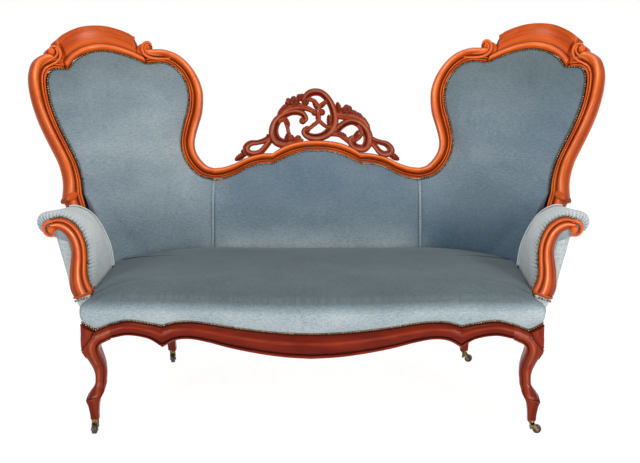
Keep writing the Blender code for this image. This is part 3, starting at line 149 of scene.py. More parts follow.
def around(outline: Array, share: Array) -> Array:
    """Rows of a closed outline at shares of the way round it."""
    closed = np.vstack((outline, outline[:1]))
    return at_distance(closed, (share % 1.0) * travel(closed)[-1])


def rounded(share: Array) -> Array:
    """A quarter round from 0 to 1."""
    return 1.0 - (1.0 - clamp(share)) ** 2


def ridge(value: Array, centre: float, width: float) -> Array:
    """A smooth bump of height 1 about a centre."""
    return np.exp(-(((value - centre) / width) ** 2))


def clamp(value: Any) -> Array:
    """A value held between 0 and 1."""
    return np.clip(value, 0.0, 1.0)


def eased(value: Any) -> Array:
    """A smooth step from 0 to 1."""
    share = clamp(value)
    return share * share * (3.0 - 2.0 * share)


def blunt(wave: Array, power: float) -> Array:
    """A wave whose size is raised to a power; a power below 1 makes a round squarer."""
    return np.sign(wave) * np.abs(wave) ** power


def xyz(x: Any, y: Any, z: Any) -> Array:
    """Points from coordinates that broadcast together."""
    return np.stack(np.broadcast_arrays(x, y, z), axis=-1)


def distance_to(line: Array, x: Array, z: Array) -> Array:
    """Distance from places to the nearest point of a line."""
    return np.sqrt((x[..., None] - line[:, 0]) ** 2 + (z[..., None] - line[:, 1]) ** 2).min(axis=-1)


def by_turn(values: Array, turn: Array) -> Array:
    """Rows spread evenly round a loop, read at shares of the way round it.

    Args:
        values: Rows round the loop.
        turn: Shares of the way round.

    Returns:
        The rows at those shares.
    """
    closed = np.vstack((values, values[:1]))
    steps = np.linspace(0.0, 1.0, len(closed))
    return np.stack([np.interp(turn, steps, closed[:, k]) for k in range(closed.shape[1])], axis=-1)


def mm(*rows: Sequence[float]) -> Rows:
    """Rows written in millimetres, as metres."""
    return tuple(tuple(value / 1000.0 for value in row) for row in rows)


def circle(count: int) -> Array:
    """Angles evenly round a circle."""
    return np.arange(count) * 2.0 * math.pi / count


def unit(vectors: Array) -> Array:
    """Vectors of length 1."""
    return vectors / np.maximum(np.linalg.norm(vectors, axis=-1, keepdims=True), 1e-12)


def disc(count: int) -> tuple[Array, Array]:
    """A square grid laid on a disc: concentric squares become rings.

    Args:
        count: Points along each side of the grid.

    Returns:
        For each point, its share of the way from the centre and its share of the way round.
    """
    a, b = np.meshgrid(np.linspace(-1.0, 1.0, count), np.linspace(-1.0, 1.0, count), indexing="ij")
    share = np.maximum(np.abs(a), np.abs(b))
    p, q = a / np.maximum(share, 1e-9), b / np.maximum(share, 1e-9)
    sides = ((q + 1) / 8, 0.25 + (p + 1) / 8, 0.5 + (1 - q) / 8)
    turn = np.select((p <= -1.0, q >= 1.0, p >= 1.0), sides, 0.75 + (1 - p) / 8)
    return share, turn


def rim(count: int) -> Array:
    """Numbers of a square grid's border points, in the order of disc()'s turn."""
    index = np.arange(count * count).reshape(count, count)
    return np.concatenate((index[0, :-1], index[:-1, -1], index[-1, :0:-1], index[:0:-1, 0]))


@dataclass
class Shell:
    """Points, faces and marks (values on points that finishes read) of closed skins."""

    points: Array
    faces: list[list[int]]
    marks: dict[str, Array] = field(default_factory=dict)

    @classmethod
    def loft(cls, rings: Array, joined: bool = False, **marks: Any) -> "Shell":
        """A skin over closed rings, with flat ends or joined into a loop.

        Args:
            rings: Points, of shape (rings, points of a ring, 3).
            joined: Whether the last ring joins the first.
            **marks: Values that broadcast over the grid.

        Returns:
            The closed skin.
        """
        rows, columns = rings.shape[:2]
        index = np.arange(rows * columns).reshape(rows, columns)
        low = index if joined else index[:-1]
        high = np.roll(index, -1, axis=0) if joined else index[1:]
        quads = np.stack((low, np.roll(low, -1, axis=1), np.roll(high, -1, axis=1), high), axis=-1)
        faces = quads.reshape(-1, 4).tolist()
        if not joined:
            faces += [index[0].tolist(), index[-1].tolist()]
        values = {key: np.broadcast_to(value, (rows, columns)).ravel() for key, value in marks.items()}
        return cls(rings.reshape(-1, 3), faces, values)

    @classmethod
    def pillow(cls, front: Array, walls: Array, rear: Array) -> "Shell":
        """Two square grids whose borders are joined by walls.

        Args:
            front: Points of the front grid, of shape (count, count, 3).
            walls: Rings between the borders, of shape (rings, 4 * (count - 1), 3).
            rear: Points of the rear grid, as the front.

        Returns:
            The closed skin.
        """
        count = len(front)
        index = np.arange(count * count).reshape(count, count)
        cells = np.stack((index[:-1, :-1], index[1:, :-1], index[1:, 1:], index[:-1, 1:]), axis=-1)
        cells = cells.reshape(-1, 4)
        border = rim(count)
        first = count * count
        last = first + walls.shape[0] * len(border)
        middle = [first + k * len(border) + np.arange(len(border)) for k in range(len(walls))]
        loops = np.array([border, *middle, last + border])
        low, high = loops[:-1], loops[1:]
        sides = np.stack((low, np.roll(low, -1, axis=1), np.roll(high, -1, axis=1), high), axis=-1)
        faces = np.vstack((cells, sides.reshape(-1, 4), last + cells[:, ::-1]))
        points = np.vstack((front.reshape(-1, 3), walls.reshape(-1, 3), rear.reshape(-1, 3)))
        return cls(points, faces.tolist())

    def __add__(self, other: "Shell") -> "Shell":
        """Both skins as one; a mark that one of them lacks is 0 there.

        Args:
            other: The skin to add.

        Returns:
            The closed skin.
        """
        faces = self.faces + [[k + len(self.points) for k in face] for face in other.faces]
        marks = {}
        for key in sorted(self.marks.keys() | other.marks.keys()):
            pair = [shell.marks.get(key, np.zeros(len(shell.points))) for shell in (self, other)]
            marks[key] = np.concatenate(pair)
        return Shell(np.vstack((self.points, other.points)), faces, marks)

    def on(self, side: Side) -> "Shell":
        """The right-hand skin, carried to either side."""
        return Shell(self.points * (side.value, 1.0, 1.0), self.faces, self.marks)


def joined(shells: Sequence[Shell]) -> Shell:
    """Several skins as one.

    Args:
        shells: The skins, in order.

    Returns:
        The closed skin.
    """
    whole = shells[0]
    for shell in shells[1:]:
        whole = whole + shell
    return whole


def tube(path: Array, half: Union[float, Array], sides: int = 10, **marks: Any) -> Shell:
    """A round skin along a path.

    Args:
        path: Points down its middle.
        half: Its radius, or one at each point.
        sides: Points round it.
        **marks: Values that broadcast over (points, sides).

    Returns:
        The closed skin.
    """
    run = unit(np.gradient(path, axis=0))
    across = unit(np.cross(run, (0.31, 0.17, 0.93)))
    over = np.cross(run, across)
    turns = circle(sides)[None, :, None]
    reach = np.broadcast_to(np.asarray(half, float), len(path))[:, None, None]
    rings = path[:, None] + reach * (np.cos(turns) * across[:, None] + np.sin(turns) * over[:, None])
    return Shell.loft(rings, run=travel(path)[:, None], **marks)


def dome(centre: Array, axis: Array, half: float, high: float, sides: int = 12, levels: int = 5,
         sunk: float = 0.4, **marks: float) -> Shell:
    """A rounded button on an axis, as rings from its sunk foot over a quarter circle to its top.

    Args:
        centre: Middle of its base.
        axis: Direction that it faces.
        half: Radius of its base.
        high: Height of its top over the base.
        sides: Points round it.
        levels: Rings of its round.
        sunk: Depth of its foot under the base, as a share of the radius.
        **marks: Values all over it.

    Returns:
        The closed skin.
    """
    axis = unit(np.asarray(axis, float))
    across = unit(np.cross(axis, (0.13, 0.21, 0.97)))
    over = np.cross(axis, across)
    rise = np.linspace(0.0, 0.47 * math.pi, levels)
    wide = np.concatenate(((half,), half * np.cos(rise)))
    lift = np.concatenate(((-sunk * half,), high * np.sin(rise)))
    turns = circle(sides)[None, :, None]
    rings = centre + lift[:, None, None] * axis
    rings = rings + wide[:, None, None] * (np.cos(turns) * across + np.sin(turns) * over)
    return Shell.loft(rings, **marks)


@dataclass(frozen=True)
class Layout:
    """Driving sizes that the sub-assemblies share, and the bent, leaning surface of the back."""

    seat_half: float = 0.620
    seat_z: float = 0.330
    back_y: float = 0.574
    lean: float = 0.18
    bend_low: float = 0.290
    bend_high: float = 0.700
    bend_rise: float = 0.720
    flat_set_back: float = 0.200
    frame_front: float = 0.020
    frame_rear: float = 0.024
    seam_in: float = 0.288
    gap: float = 0.0004
    nail_pitch: float = 0.0075
    nail_half: float = 0.0033

    @property
    def seam_x(self) -> float:
        """Distance of the joints and seams of the back from the middle."""
        return self.seat_half - self.seam_in

    def from_corner(self, stations: Rows) -> Array:
        """Stations of x, z pairs, from the seat corner to the settee's own axes."""
        rows = np.asarray(stations, float)
        return rows + np.tile((self.seat_half, self.seat_z), rows.shape[1] // 2)

    def depth(self, x: Array, z: Array) -> Array:
        """Depth y of the back's surface: flat in the middle, bent forward to the ends, leaning back.

        Args:
            x: Distance from the middle.
            z: Height.

        Returns:
            The depths.
        """
        rise = np.maximum(z - self.seat_z, 0.0)
        share = rise / self.bend_rise
        radius = self.bend_low + share * (self.bend_high - self.bend_low)
        flat_low = self.seat_half - self.bend_low
        flat = flat_low + share * (self.seat_half - self.flat_set_back - flat_low)
        reach = np.clip(np.abs(x) - flat, 0.0, 0.99 * radius)
        return self.back_y + self.lean * rise - radius + np.sqrt(radius**2 - reach**2)

    def facing(self, x: Array, z: Array) -> Array:
        """Forward unit normals of the back's surface.

        Args:
            x: Distance from the middle.
            z: Height.

        Returns:
            The normals.
        """
        step = 0.0005
        slope_x = (self.depth(x + step, z) - self.depth(x - step, z)) / (2 * step)
        slope_z = (self.depth(x, z + step) - self.depth(x, z - step)) / (2 * step)
        return unit(np.stack((slope_x, -np.ones_like(slope_x), slope_z), axis=-1))

    def on_back(self, x: Any, z: Any, out: Any) -> Array:
        """Points at a height out of the back's surface, forwards.

        Args:
            x: Distance from the middle.
            z: Height over the floor.
            out: Height out of the surface.

        Returns:
            The points, of the arguments' common shape with 3 added.
        """
        x, z, out = np.broadcast_arrays(*(np.asarray(v, float) for v in (x, z, out)))
        spot = np.stack((x, self.depth(x, z), z), axis=-1)
        return spot + out[..., None] * self.facing(x, z)


class Sock:
    """A shader value that takes part in Python arithmetic; each operator adds a Math node."""

    def __init__(self, graph: "Graph", link: bpy.types.NodeSocket) -> None:
        """Wraps an output socket of a graph."""
        self.graph = graph
        self.link = link

    def math(self, operation: str, *values: Any) -> "Sock":
        """A Math node of that operation on the given values, in order."""
        return self.graph.node("ShaderNodeMath", {"operation": operation}, dict(enumerate(values)))

    def __add__(self, other: Any) -> "Sock":
        """self + other."""
        return self.math("ADD", self, other)

    def __radd__(self, other: Any) -> "Sock":
        """other + self."""
        return self.math("ADD", other, self)

    def __sub__(self, other: Any) -> "Sock":
        """self - other."""
        return self.math("SUBTRACT", self, other)

    def __rsub__(self, other: Any) -> "Sock":
        """other - self."""
        return self.math("SUBTRACT", other, self)

    def __mul__(self, other: Any) -> "Sock":
        """self * other."""
        return self.math("MULTIPLY", self, other)

    def __rmul__(self, other: Any) -> "Sock":
        """other * self."""
        return self.math("MULTIPLY", other, self)

    def ramp(self, low: float, high: float) -> "Sock":
        """0 below low, 1 above high and straight between."""
        settings = {"clamp": True}
        return self.graph.node("ShaderNodeMapRange", settings, {0: self, 1: low, 2: high})

    def sine(self) -> "Sock":
        """Its sine."""
        return self.math("SINE", self)


class Graph:
    """The node tree of a material or a world, round its one shader."""

    def __init__(self, name: str, world: bool = False) -> None:
        """Starts a material of that name, or a world.

        Args:
            name: The name.
            world: Whether it is a world.
        """
        self.material = (bpy.data.worlds if world else bpy.data.materials).new(name)
        self.material.use_nodes = True
        self.tree = self.material.node_tree
        self.shader = self.tree.nodes["Background" if world else "Principled BSDF"]

    def node(self, kind: str, settings: dict[str, Any], sockets: dict[Any, Any], output: Any = 0) -> Sock:
        """Adds a node.

        Args:
            kind: Its type.
            settings: Its own settings, set first.
            sockets: Values or links of its inputs, by name or number.
            output: The output to hand on.

        Returns:
            That output.
        """
        made = self.tree.nodes.new(kind)
        for key, value in settings.items():
            setattr(made, key, value)
        for key, value in sockets.items():
            self.feed(made.inputs[key], value)
        return Sock(self, made.outputs[output])

    def feed(self, socket: bpy.types.NodeSocket, value: Any) -> None:
        """Links or sets an input; a colour is made opaque.

        Args:
            socket: The input.
            value: A value or a link.
        """
        if isinstance(value, Sock):
            self.tree.links.new(value.link, socket)
        else:
            socket.default_value = (*value, 1.0) if socket.type == "RGBA" else value

    def principled(self, **inputs: Any) -> None:
        """Sets the shader's inputs, named in words joined by underscores.

        Args:
            inputs: Values or links.
        """
        for key, value in inputs.items():
            name = key.replace("_", " ").title().replace("Ior", "IOR")
            self.feed(self.shader.inputs[name], value)

    def mark(self, name: str) -> Sock:
        """A value that the piece's own points carry."""
        return self.node("ShaderNodeAttribute", {"attribute_name": name}, {}, "Fac")

    def place(self, scale: tuple[float, float, float] = (1.0, 1.0, 1.0)) -> Sock:
        """Object coordinates, scaled along each axis."""
        spot = self.node("ShaderNodeTexCoord", {}, {}, "Object")
        return self.node("ShaderNodeMapping", {}, {"Vector": spot, "Scale": scale})

    def vector(self, x: Any, y: Any, z: Any = 0.0) -> Sock:
        """A vector of three values."""
        return self.node("ShaderNodeCombineXYZ", {}, {0: x, 1: y, 2: z})

    def noise(self, spot: Sock, scale: float, detail: float = 3.0, rough: float = 0.55) -> Sock:
        """Smooth noise about 0.5 at a place."""
        sockets = {"Vector": spot, "Scale": scale, "Detail": detail, "Roughness": rough}
        return self.node("ShaderNodeTexNoise", {}, sockets, "Fac")

    def mix(self, a: Any, b: Any, share: Any) -> Sock:
        """A colour between two."""
        return self.node("ShaderNodeMix", {"data_type": "RGBA"}, {0: share, 6: a, 7: b}, 2)

    def scaled(self, colour: Any, value: Any) -> Sock:
        """A colour times a value, through Vector Math."""
        return self.node("ShaderNodeVectorMath", {"operation": "SCALE"}, {0: colour, "Scale": value})

    def bump(self, height: Sock, strength: float, distance: float) -> Sock:
        """A normal from a height."""
        sockets = {"Height": height, "Strength": strength, "Distance": distance}
        return self.node("ShaderNodeBump", {}, sockets, "Normal")


@dataclass(frozen=True)
class Coat:
    """A finished material and the slot it stands for."""

    material: bpy.types.Material
    slot: Slot


@dataclass(frozen=True)
class Polish:
    """Polished mahogany: fibres and pores along the member, painted shade in grooves, recesses and undersides, and a
    painted highlight along the crests of the rounds.
    """

    name: str
    slot: Slot
    pale: Colour
    deep: Colour
    dark: Colour
    worn: Colour = (0.95, 0.48, 0.24)
    gloss: float = 0.18

    def coat(self) -> Coat:
        """Noise drawn out along the run gives fibres, and finer noise gives pores.

        Returns:
            The finish.
        """
        graph = Graph(self.name)
        run, cross, hollow = graph.mark("run"), graph.mark("cross"), graph.mark("hollow")
        fibres = graph.noise(graph.vector(run * 5.0, cross * 120.0), 1.0, 4.0)
        figure = graph.noise(graph.vector(run * 9.0, cross * 20.0), 1.0, 2.0)
        pores = graph.noise(graph.vector(run * 60.0, cross * 1500.0), 1.0, 1.0).ramp(0.60, 0.72)
        tone = (fibres * 0.45 + figure * 0.55).ramp(0.38, 0.62)
        colour = graph.mix(self.deep, self.pale, tone)
        colour = graph.mix(colour, self.dark, pores * 0.20)
        # Painted shade: the shade mark darkens grooves, recesses and undersides, and roughens them.
        colour = graph.mix(colour, self.dark, hollow * 0.88)
        # Painted highlight: a pale streak along the crests of the rounds, broken up by noise.
        highlight_breakup = graph.noise(graph.vector(run * 14.0, cross * 30.0), 1.0, 3.0).ramp(0.36, 0.66)
        colour = graph.mix(colour, self.worn, graph.mark("shine") * (0.30 + 0.70 * highlight_breakup))
        rough = 0.15 + 0.06 * fibres + 0.25 * hollow
        normal = graph.bump(pores * -1.0 + fibres * 0.3, 0.05, 0.001)
        graph.principled(base_color=colour, roughness=rough, normal=normal, specular_ior_level=self.gloss)
        return Coat(graph.material, self.slot)


@dataclass(frozen=True)
class Velvet:
    """Slubbed cotton velvet: pile direction and painted light shade it, weft threads streak it, nails pucker its edges,
    and a painted shadow runs along the nails.
    """

    name: str = "slubbed_velvet"
    shade: Colour = (0.006, 0.050, 0.100)
    dusty: Colour = (0.030, 0.050, 0.055)
    middle: Colour = (0.275, 0.330, 0.355)
    light: Colour = (0.595, 0.625, 0.620)
    sheen: Colour = (0.72, 0.82, 0.88)
    slot: Slot = Slot.VELVET

    def coat(self) -> Coat:
        """The pile-and-painted-light tone picks a colour between shade and light; slubs, threads and pile noise scale
        it up and down.

        Returns:
            The finish.
        """
        graph = Graph(self.name)
        nap, warp, weft = graph.mark("nap"), graph.mark("warp"), graph.mark("weft")
        edge, edge_run, dust = graph.mark("edge"), graph.mark("edge_run"), graph.mark("dust")
        slub = graph.noise(graph.vector(warp * 75.0, weft * 250.0), 1.0, 3.0, 0.65)
        thread = graph.noise(graph.vector(warp * 230.0, weft * 430.0), 1.0, 2.0)
        worn = graph.noise(graph.vector(warp * 6.0, weft * 9.0), 1.0, 5.0, 0.60)
        pile = graph.noise(graph.place(), 320.0, 2.0)
        grain = (slub - 0.5) * 0.98 + (thread - 0.5) * 0.78 + (pile - 0.5) * 0.78
        tone = nap * (1.0 + grain + (worn - 0.5) * 0.80)
        colour = graph.mix(graph.mix(self.shade, self.dusty, dust), self.middle, tone.ramp(0.0, 0.5))
        colour = graph.mix(colour, self.light, tone.ramp(0.5, 1.0))
        # Painted shadow: the velvet darkens from 7.5 mm in to a fifth at 3 mm from the nailed edges.
        colour = graph.scaled(colour, 1.0 - 0.80 * edge.ramp(0.0075, 0.0030))
        wave = (edge_run * (2.0 * math.pi / Layout.nail_pitch)).sine()
        pucker = wave * edge.ramp(0.022, 0.0)
        height = slub * 0.5 + pile * 0.4 + thread * 0.4 + pucker * 0.8
        graph.principled(base_color=colour, roughness=0.95, sheen_weight=0.14, sheen_roughness=0.40,
                         sheen_tint=self.sheen, specular_ior_level=0.10,
                         normal=graph.bump(height, 0.35, 0.001))
        return Coat(graph.material, self.slot)


@dataclass(frozen=True)
class Brass:
    """Cast brass with brown tarnish in patches."""

    name: str
    bright: Colour
    tarnish: Colour
    rough: float
    slot: Slot = Slot.BRASS

    def coat(self) -> Coat:
        """Noise at two scales mixes bright metal with tarnish.

        Returns:
            The finish.
        """
        graph = Graph(self.name)
        patch = graph.noise(graph.place(), 160.0, 3.0)
        fine = graph.noise(graph.place(), 900.0, 2.0)
        stain = (patch * 0.6 + fine * 0.4).ramp(0.38, 0.60)
        colour = graph.mix(self.bright, self.tarnish, stain)
        graph.principled(base_color=colour, metallic=1.0, roughness=self.rough + 0.2 * stain,
                         normal=graph.bump(fine, 0.05, 0.0005))
        return Coat(graph.material, self.slot)


@dataclass(frozen=True)
class Timber:
    """Plain sawn wood, for what the upholstery hides, and for the turned wheels."""

    name: str
    slot: Slot
    pale: Colour
    deep: Colour
    rough: float

    def coat(self) -> Coat:
        """Noise drawn out along X gives the grain.

        Returns:
            The finish.
        """
        graph = Graph(self.name)
        grain = graph.noise(graph.place((8.0, 90.0, 90.0)), 1.0, 4.0)
        colour = graph.mix(self.deep, self.pale, grain.ramp(0.35, 0.65))
        graph.principled(base_color=colour, roughness=self.rough + 0.1 * grain,
                         normal=graph.bump(grain, 0.1, 0.001))
        return Coat(graph.material, self.slot)


@dataclass(frozen=True)
class Jute:
    """Plain-woven jute: two crossing waves of threads."""

    name: str = "plain_jute"
    pale: Colour = (0.42, 0.33, 0.21)
    deep: Colour = (0.20, 0.15, 0.09)
    thread: float = 0.0016
    slot: Slot = Slot.JUTE

    def coat(self) -> Coat:
        """The product of sines along X and Y makes the weave, with noise for uneven threads.

        Returns:
            The finish.
        """
        graph = Graph(self.name)
        across, along = (graph.node("ShaderNodeSeparateXYZ", {}, {0: graph.place()}, axis) for axis in "XY")
        rate = math.pi / self.thread
        weave = (across * rate).sine() * (along * rate).sine() * 0.5 + 0.5
        uneven = graph.noise(graph.place(), 70.0, 3.0)
        colour = graph.mix(self.deep, self.pale, weave * 0.6 + uneven * 0.5)
        graph.principled(base_color=colour, roughness=0.9, normal=graph.bump(weave, 0.4, 0.001))
        return Coat(graph.material, self.slot)


class Workshop:
    """Puts finished skins into the scene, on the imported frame."""

    def __init__(self, frame: dict[str, Any]) -> None:
        """Reads where the front stems stand from the frame's joints.
        """
        self.nodes: dict[str, bpy.types.Object] = frame["nodes"]
        self.joints = {joint["name"]: joint for joint in frame["joints"]}
        self.shift = np.array((0.0, self.joints["swivel_front_right"]["pos_m"][1], 0.0))

    def add(self, name: str, shell: Shell, coat: Coat, replaces: Sequence[str] = (), body: str = BODY,
            shifted: bool = True, sharp: float = 42.0) -> bpy.types.Object:
        """Makes a skin a piece that rides on a body.

        Args:
            name: The piece's name.
            shell: Its skin, with y from the front stems.
            coat: Its finish.
            replaces: CAD nodes that it stands for.
            body: The body that carries it.
            shifted: Whether the skin still has to be moved into the frame.
            sharp: Angle over which an edge stays sharp, in degrees.

        Returns:
            The new object.
        """
        mesh = bpy.data.meshes.new(name)
        points = shell.points + self.shift if shifted else shell.points
        mesh.from_pydata(points.tolist(), [], shell.faces)
        for mark, values in shell.marks.items():
            layer = mesh.attributes.new(mark, "FLOAT", "POINT")
            layer.data.foreach_set("value", np.ascontiguousarray(values, np.float32))
        builder = bmesh.new()
        builder.from_mesh(mesh)
        bmesh.ops.recalc_face_normals(builder, faces=builder.faces)
        builder.to_mesh(mesh)
        builder.free()
        mesh.shade_smooth()
        mesh.set_sharp_from_angle(angle=math.radians(sharp))
        mesh.materials.append(coat.material)
        piece = bpy.data.objects.new(name, mesh)
        bpy.context.scene.collection.objects.link(piece)
        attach(piece, body)
        if replaces:
            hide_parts(*replaces)
        LOG.info("%s: %d points", name, len(points))
        return piece

    def paint(self, coat: Coat, *starts: str) -> None:
        """Gives CAD nodes whose names start so a finish.

        Args:
            coat: Its finish.
            starts: How their names start.
        """
        for name, node in self.nodes.items():
            if name.startswith(starts):
                node.data.materials.clear()
                node.data.materials.append(coat.material)


@dataclass(frozen=True)
class BackFrame:
    """Moulded frame of the back: uprights, tablets, shoulder rails, centre rail and their volutes."""

    size: Layout
    upright: Rows = mm(
        (144, 270, 107, 270), (148, 315, 114, 310), (162, 365, 127, 354), (184, 413, 147, 400), (206, 459, 168, 444),
        (226, 505, 188, 490), (242, 550, 204, 535), (254, 595, 214, 578), (259, 635, 218, 613), (254, 668, 213, 635),
        (240, 684, 200, 645), (222, 691, 182, 644), (206, 688, 163.5, 641.5),
    )
    tablet: Rows = mm(
        (-34, 736, -70.4, 651.5), (6, 754, -22, 673), (49, 767, 23, 688), (92, 771, 70, 695), (136, 766, 115, 686),
        (178, 747, 145, 667), (202, 726, 162.9, 642),
    )
    shoulder: Rows = mm(
        (-54, 698, -71, 651), (-90, 696, -96, 654), (-130, 694, -130, 654), (-173, 678, -159, 641),
        (-209, 647, -184, 617), (-236, 607, -201, 588), (-251, 565, -209, 556), (-253, 528, -209, 528),
        (-249, 490, -204, 498), (-238, 453, -194, 465), (-229, 422, -186, 433), (-225, 396, -182, 401),
        (-229, 371, -187, 370), (-242, 348, -198, 342), (-259, 330, -218, 315), (-272, 322, -246, 294),
        (-288, 318, -288, 283),
    )
    hump: Rows = mm((0, 405, 375), (42, 403, 372), (80, 396, 362), (115, 382, 347), (142, 365, 334))
    wing: Rows = mm(
        (142, 365, 334), (165, 365, 334), (190, 361, 331), (225, 351, 320), (262, 334, 300), (300, 321.5, 287),
        (332, 318, 283),
    )
    post_foot: tuple[float, float] = (0.004, 0.345)
    post_knee: tuple[float, float] = (0.054, 0.372)
    post_knee_z: float = 0.090
    post_wide: float = 0.026
    post_deep: float = 0.040
    inner_knob: tuple[float, float] = (-0.077, 0.700)
    outer_knob: tuple[float, float] = (0.209, 0.696)
    base_knob: tuple[float, float] = (0.1335, 0.2665)
    inner_eye: tuple[float, float, float] = (0.0145, 0.016, 0.0072)
    outer_eye: tuple[float, float, float] = (0.0125, 0.012, 0.0118)
    base_drum: tuple[float, float, float, float] = (0.0120, 0.0215, 0.0, -0.010)
    inner_fillers: Rows = mm((-61, 694, 20, 8))
    outer_fillers: Rows = mm((200, 690, 19, 10.5), (178, 662, 12.5, 5))
    inner_reeds: Sequence[Rows] = (
        ((-10, 5, 19, 2.6), (-7, 12, 19, 3.7), (2, 16, 18.5, 4.6), (12, 12.5, 18.5, 5.0), (18, 2, 19, 5.3),
         (17.5, -11, 19, 5.3), (10, -23, 18, 5.0), (-5, -31.5, 16, 4.8), (-24, -35, 13, 4.3),
         (-50, -35.5, 10.5, 3.6), (-70, -34, 9.5, 2.9)),
        ((-2, 8.5, 20, 2.5), (6, 6.5, 20, 3.2), (9.5, -2, 20, 3.7), (6.5, -12, 19, 4.0), (-5, -20, 17, 4.0),
         (-25, -23, 14, 3.7), (-45, -23.5, 11.5, 3.0)),
    )
    outer_reeds: Sequence[Rows] = (
        ((5, 12.5, 14, 2.4), (-5, 14.5, 16, 3.4), (-15, 10.5, 17, 4.2), (-21, 0, 17.5, 4.6), (-23.5, -13, 17.5, 4.6),
         (-20.5, -26, 16.5, 4.4), (-12, -35, 15, 4.2), (0, -41, 13, 3.6), (13, -51, 10.6, 3.0), (18, -64, 9.8, 2.6)),
        ((-9, 8, 17, 2.4), (-14, 0, 18, 3.0), (-14, -11, 17.5, 3.4), (-7, -21, 16.5, 3.4), (6, -28, 14.5, 3.2),
         (20, -38, 12, 2.8), (27, -50, 10.2, 2.4)),
    )
    end_cove: float = 0.016
    end_hollow: float = 0.010

    def moulding(self) -> Array:
        """Section of the frame: two beads at the nails, a cove and a broad round; share, out, painted shade.

        Returns:
            Rows of the section.
        """
        f, r = self.size.frame_front, self.size.frame_rear
        wall = ((0.0, -r, 0.3), (0.0, 0.30 * f, 0.45))
        first = ((0.0, 0.30 * f, 0.45), (0.02, 0.50 * f, 0.2), (0.07, 0.62 * f, 0.05), (0.13, 0.58 * f, 0.2),
                 (0.165, 0.44 * f, 0.7), (0.18, 0.36 * f, 1.0))
        second = ((0.18, 0.36 * f, 1.0), (0.20, 0.44 * f, 0.7), (0.235, 0.63 * f, 0.0), (0.27, 0.70 * f, 0.0),
                  (0.305, 0.63 * f, 0.0), (0.335, 0.46 * f, 0.6), (0.35, 0.34 * f, 1.0))
        body = ((0.35, 0.34 * f, 1.0), (0.385, 0.30 * f, 0.9), (0.43, 0.42 * f, 0.75), (0.50, 0.70 * f, 0.45),
                (0.58, 0.88 * f, 0.18), (0.68, 0.98 * f, 0.0), (0.80, f, 0.0), (0.90, 0.94 * f, 0.12),
                (0.96, 0.78 * f, 0.40), (0.99, 0.48 * f, 0.60), (1.0, 0.05 * f, 0.65))
        back = ((1.0, 0.05 * f, 0.25), (0.99, -0.2 * r, 0.3), (0.95, -0.45 * r, 0.3), (0.86, -0.75 * r, 0.3),
                (0.74, -0.95 * r, 0.3), (0.60, -r, 0.3))
        return chain((wall, first, second, body, back), 3)

    def frieze(self) -> Array:
        """Section of a tablet: a bead, a quirk and a concave frieze under a sharp top; share, out, painted shade.

        Returns:
            Rows of the section.
        """
        f, r = self.size.frame_front, self.size.frame_rear
        wall = ((0.0, -r, 0.3), (0.0, 0.35 * f, 0.4))
        bead = ((0.0, 0.35 * f, 0.4), (0.02, 0.62 * f, 0.1), (0.07, 0.86 * f, 0.0), (0.14, 0.98 * f, 0.0),
                (0.20, 0.93 * f, 0.0), (0.25, 0.72 * f, 0.3), (0.275, 0.50 * f, 0.9))
        face = ((0.275, 0.50 * f, 0.9), (0.29, 0.40 * f, 1.0), (0.31, 0.36 * f, 0.5), (0.38, 0.33 * f, 0.0),
                (0.60, 0.42 * f, 0.0), (0.80, 0.62 * f, 0.0), (0.94, 0.88 * f, 0.0), (0.985, 0.98 * f, 0.0))
        top = ((0.985, 0.98 * f, 0.0), (1.0, 0.85 * f, 0.0), (1.0, 0.3 * f, 0.0), (1.0, -0.6 * r, 0.2),
               (0.99, -r, 0.3))
        return chain((wall, bead, face, top), 4)

    def member(self, stations: Array, section: Array, rings: Array) -> Shell:
        """A skin over sections, marked with its grain, its painted shade and a painted highlight.

        Args:
            stations: Stations along it, for the length of its grain.
            section: Its section with its painted shade.
            rings: Its sections in place.

        Returns:
            The closed skin.
        """
        run = travel(stations[:, :2]) + 3.0 * abs(stations[0, 0]) + stations[0, 1]
        wide = np.linalg.norm(stations[:, :2] - stations[:, 2:], axis=1)
        cross = section[None, :, 0] * wide[:, None] + 0.3 * section[None, :, 1]
        # Painted highlight along the crest of the broad round and on the bead.
        worn = 0.62 * ridge(section[:, 0], 0.80, 0.055) + 0.30 * ridge(section[:, 0], 0.27, 0.02)
        worn = worn * (section[:, 1] > 0.5 * self.size.frame_front)
        return Shell.loft(rings, run=run[:, None], cross=cross, hollow=section[None, :, 2], shine=worn[None, :])

    @staticmethod
    def spread(stations: Array, section: Array) -> Array:
        """Places of a section's points between the inner and the outer edge at each station."""
        inner, outer = stations[:, None, 2:], stations[:, None, :2]
        return inner + section[None, :, :1] * (outer - inner)

    def swept(self, stations: Array, section: Array, ends: tuple[float, float] = (0.0, 0.0)) -> Shell:
        """A member of one section along stations on the back.

        Args:
            stations: Stations along it.
            section: Its section with its painted shade.
            ends: Lengths over which its front dies away at its start and its end.

        Returns:
            The closed skin.
        """
        spot = self.spread(stations, section)
        out = np.maximum(section[None, :, 1], 0.0) * self.rise(stations, ends)[:, None]
        rings = self.size.on_back(spot[..., 0], spot[..., 1], out + np.minimum(section[None, :, 1], 0.0))
        return self.member(stations, section, rings)

    def rise(self, stations: Array, ends: tuple[float, float]) -> Array:
        """Share of the full relief at each station, lower towards ends that die away.

        Args:
            stations: Stations along it.
            ends: Lengths over which it dies away.

        Returns:
            The shares.
        """
        run = travel(stations[:, :2])
        start = rounded(run / max(ends[0], 1e-6)) if ends[0] else np.ones(len(run))
        stop = rounded((run[-1] - run) / max(ends[1], 1e-6)) if ends[1] else np.ones(len(run))
        return 0.30 + 0.70 * start * stop

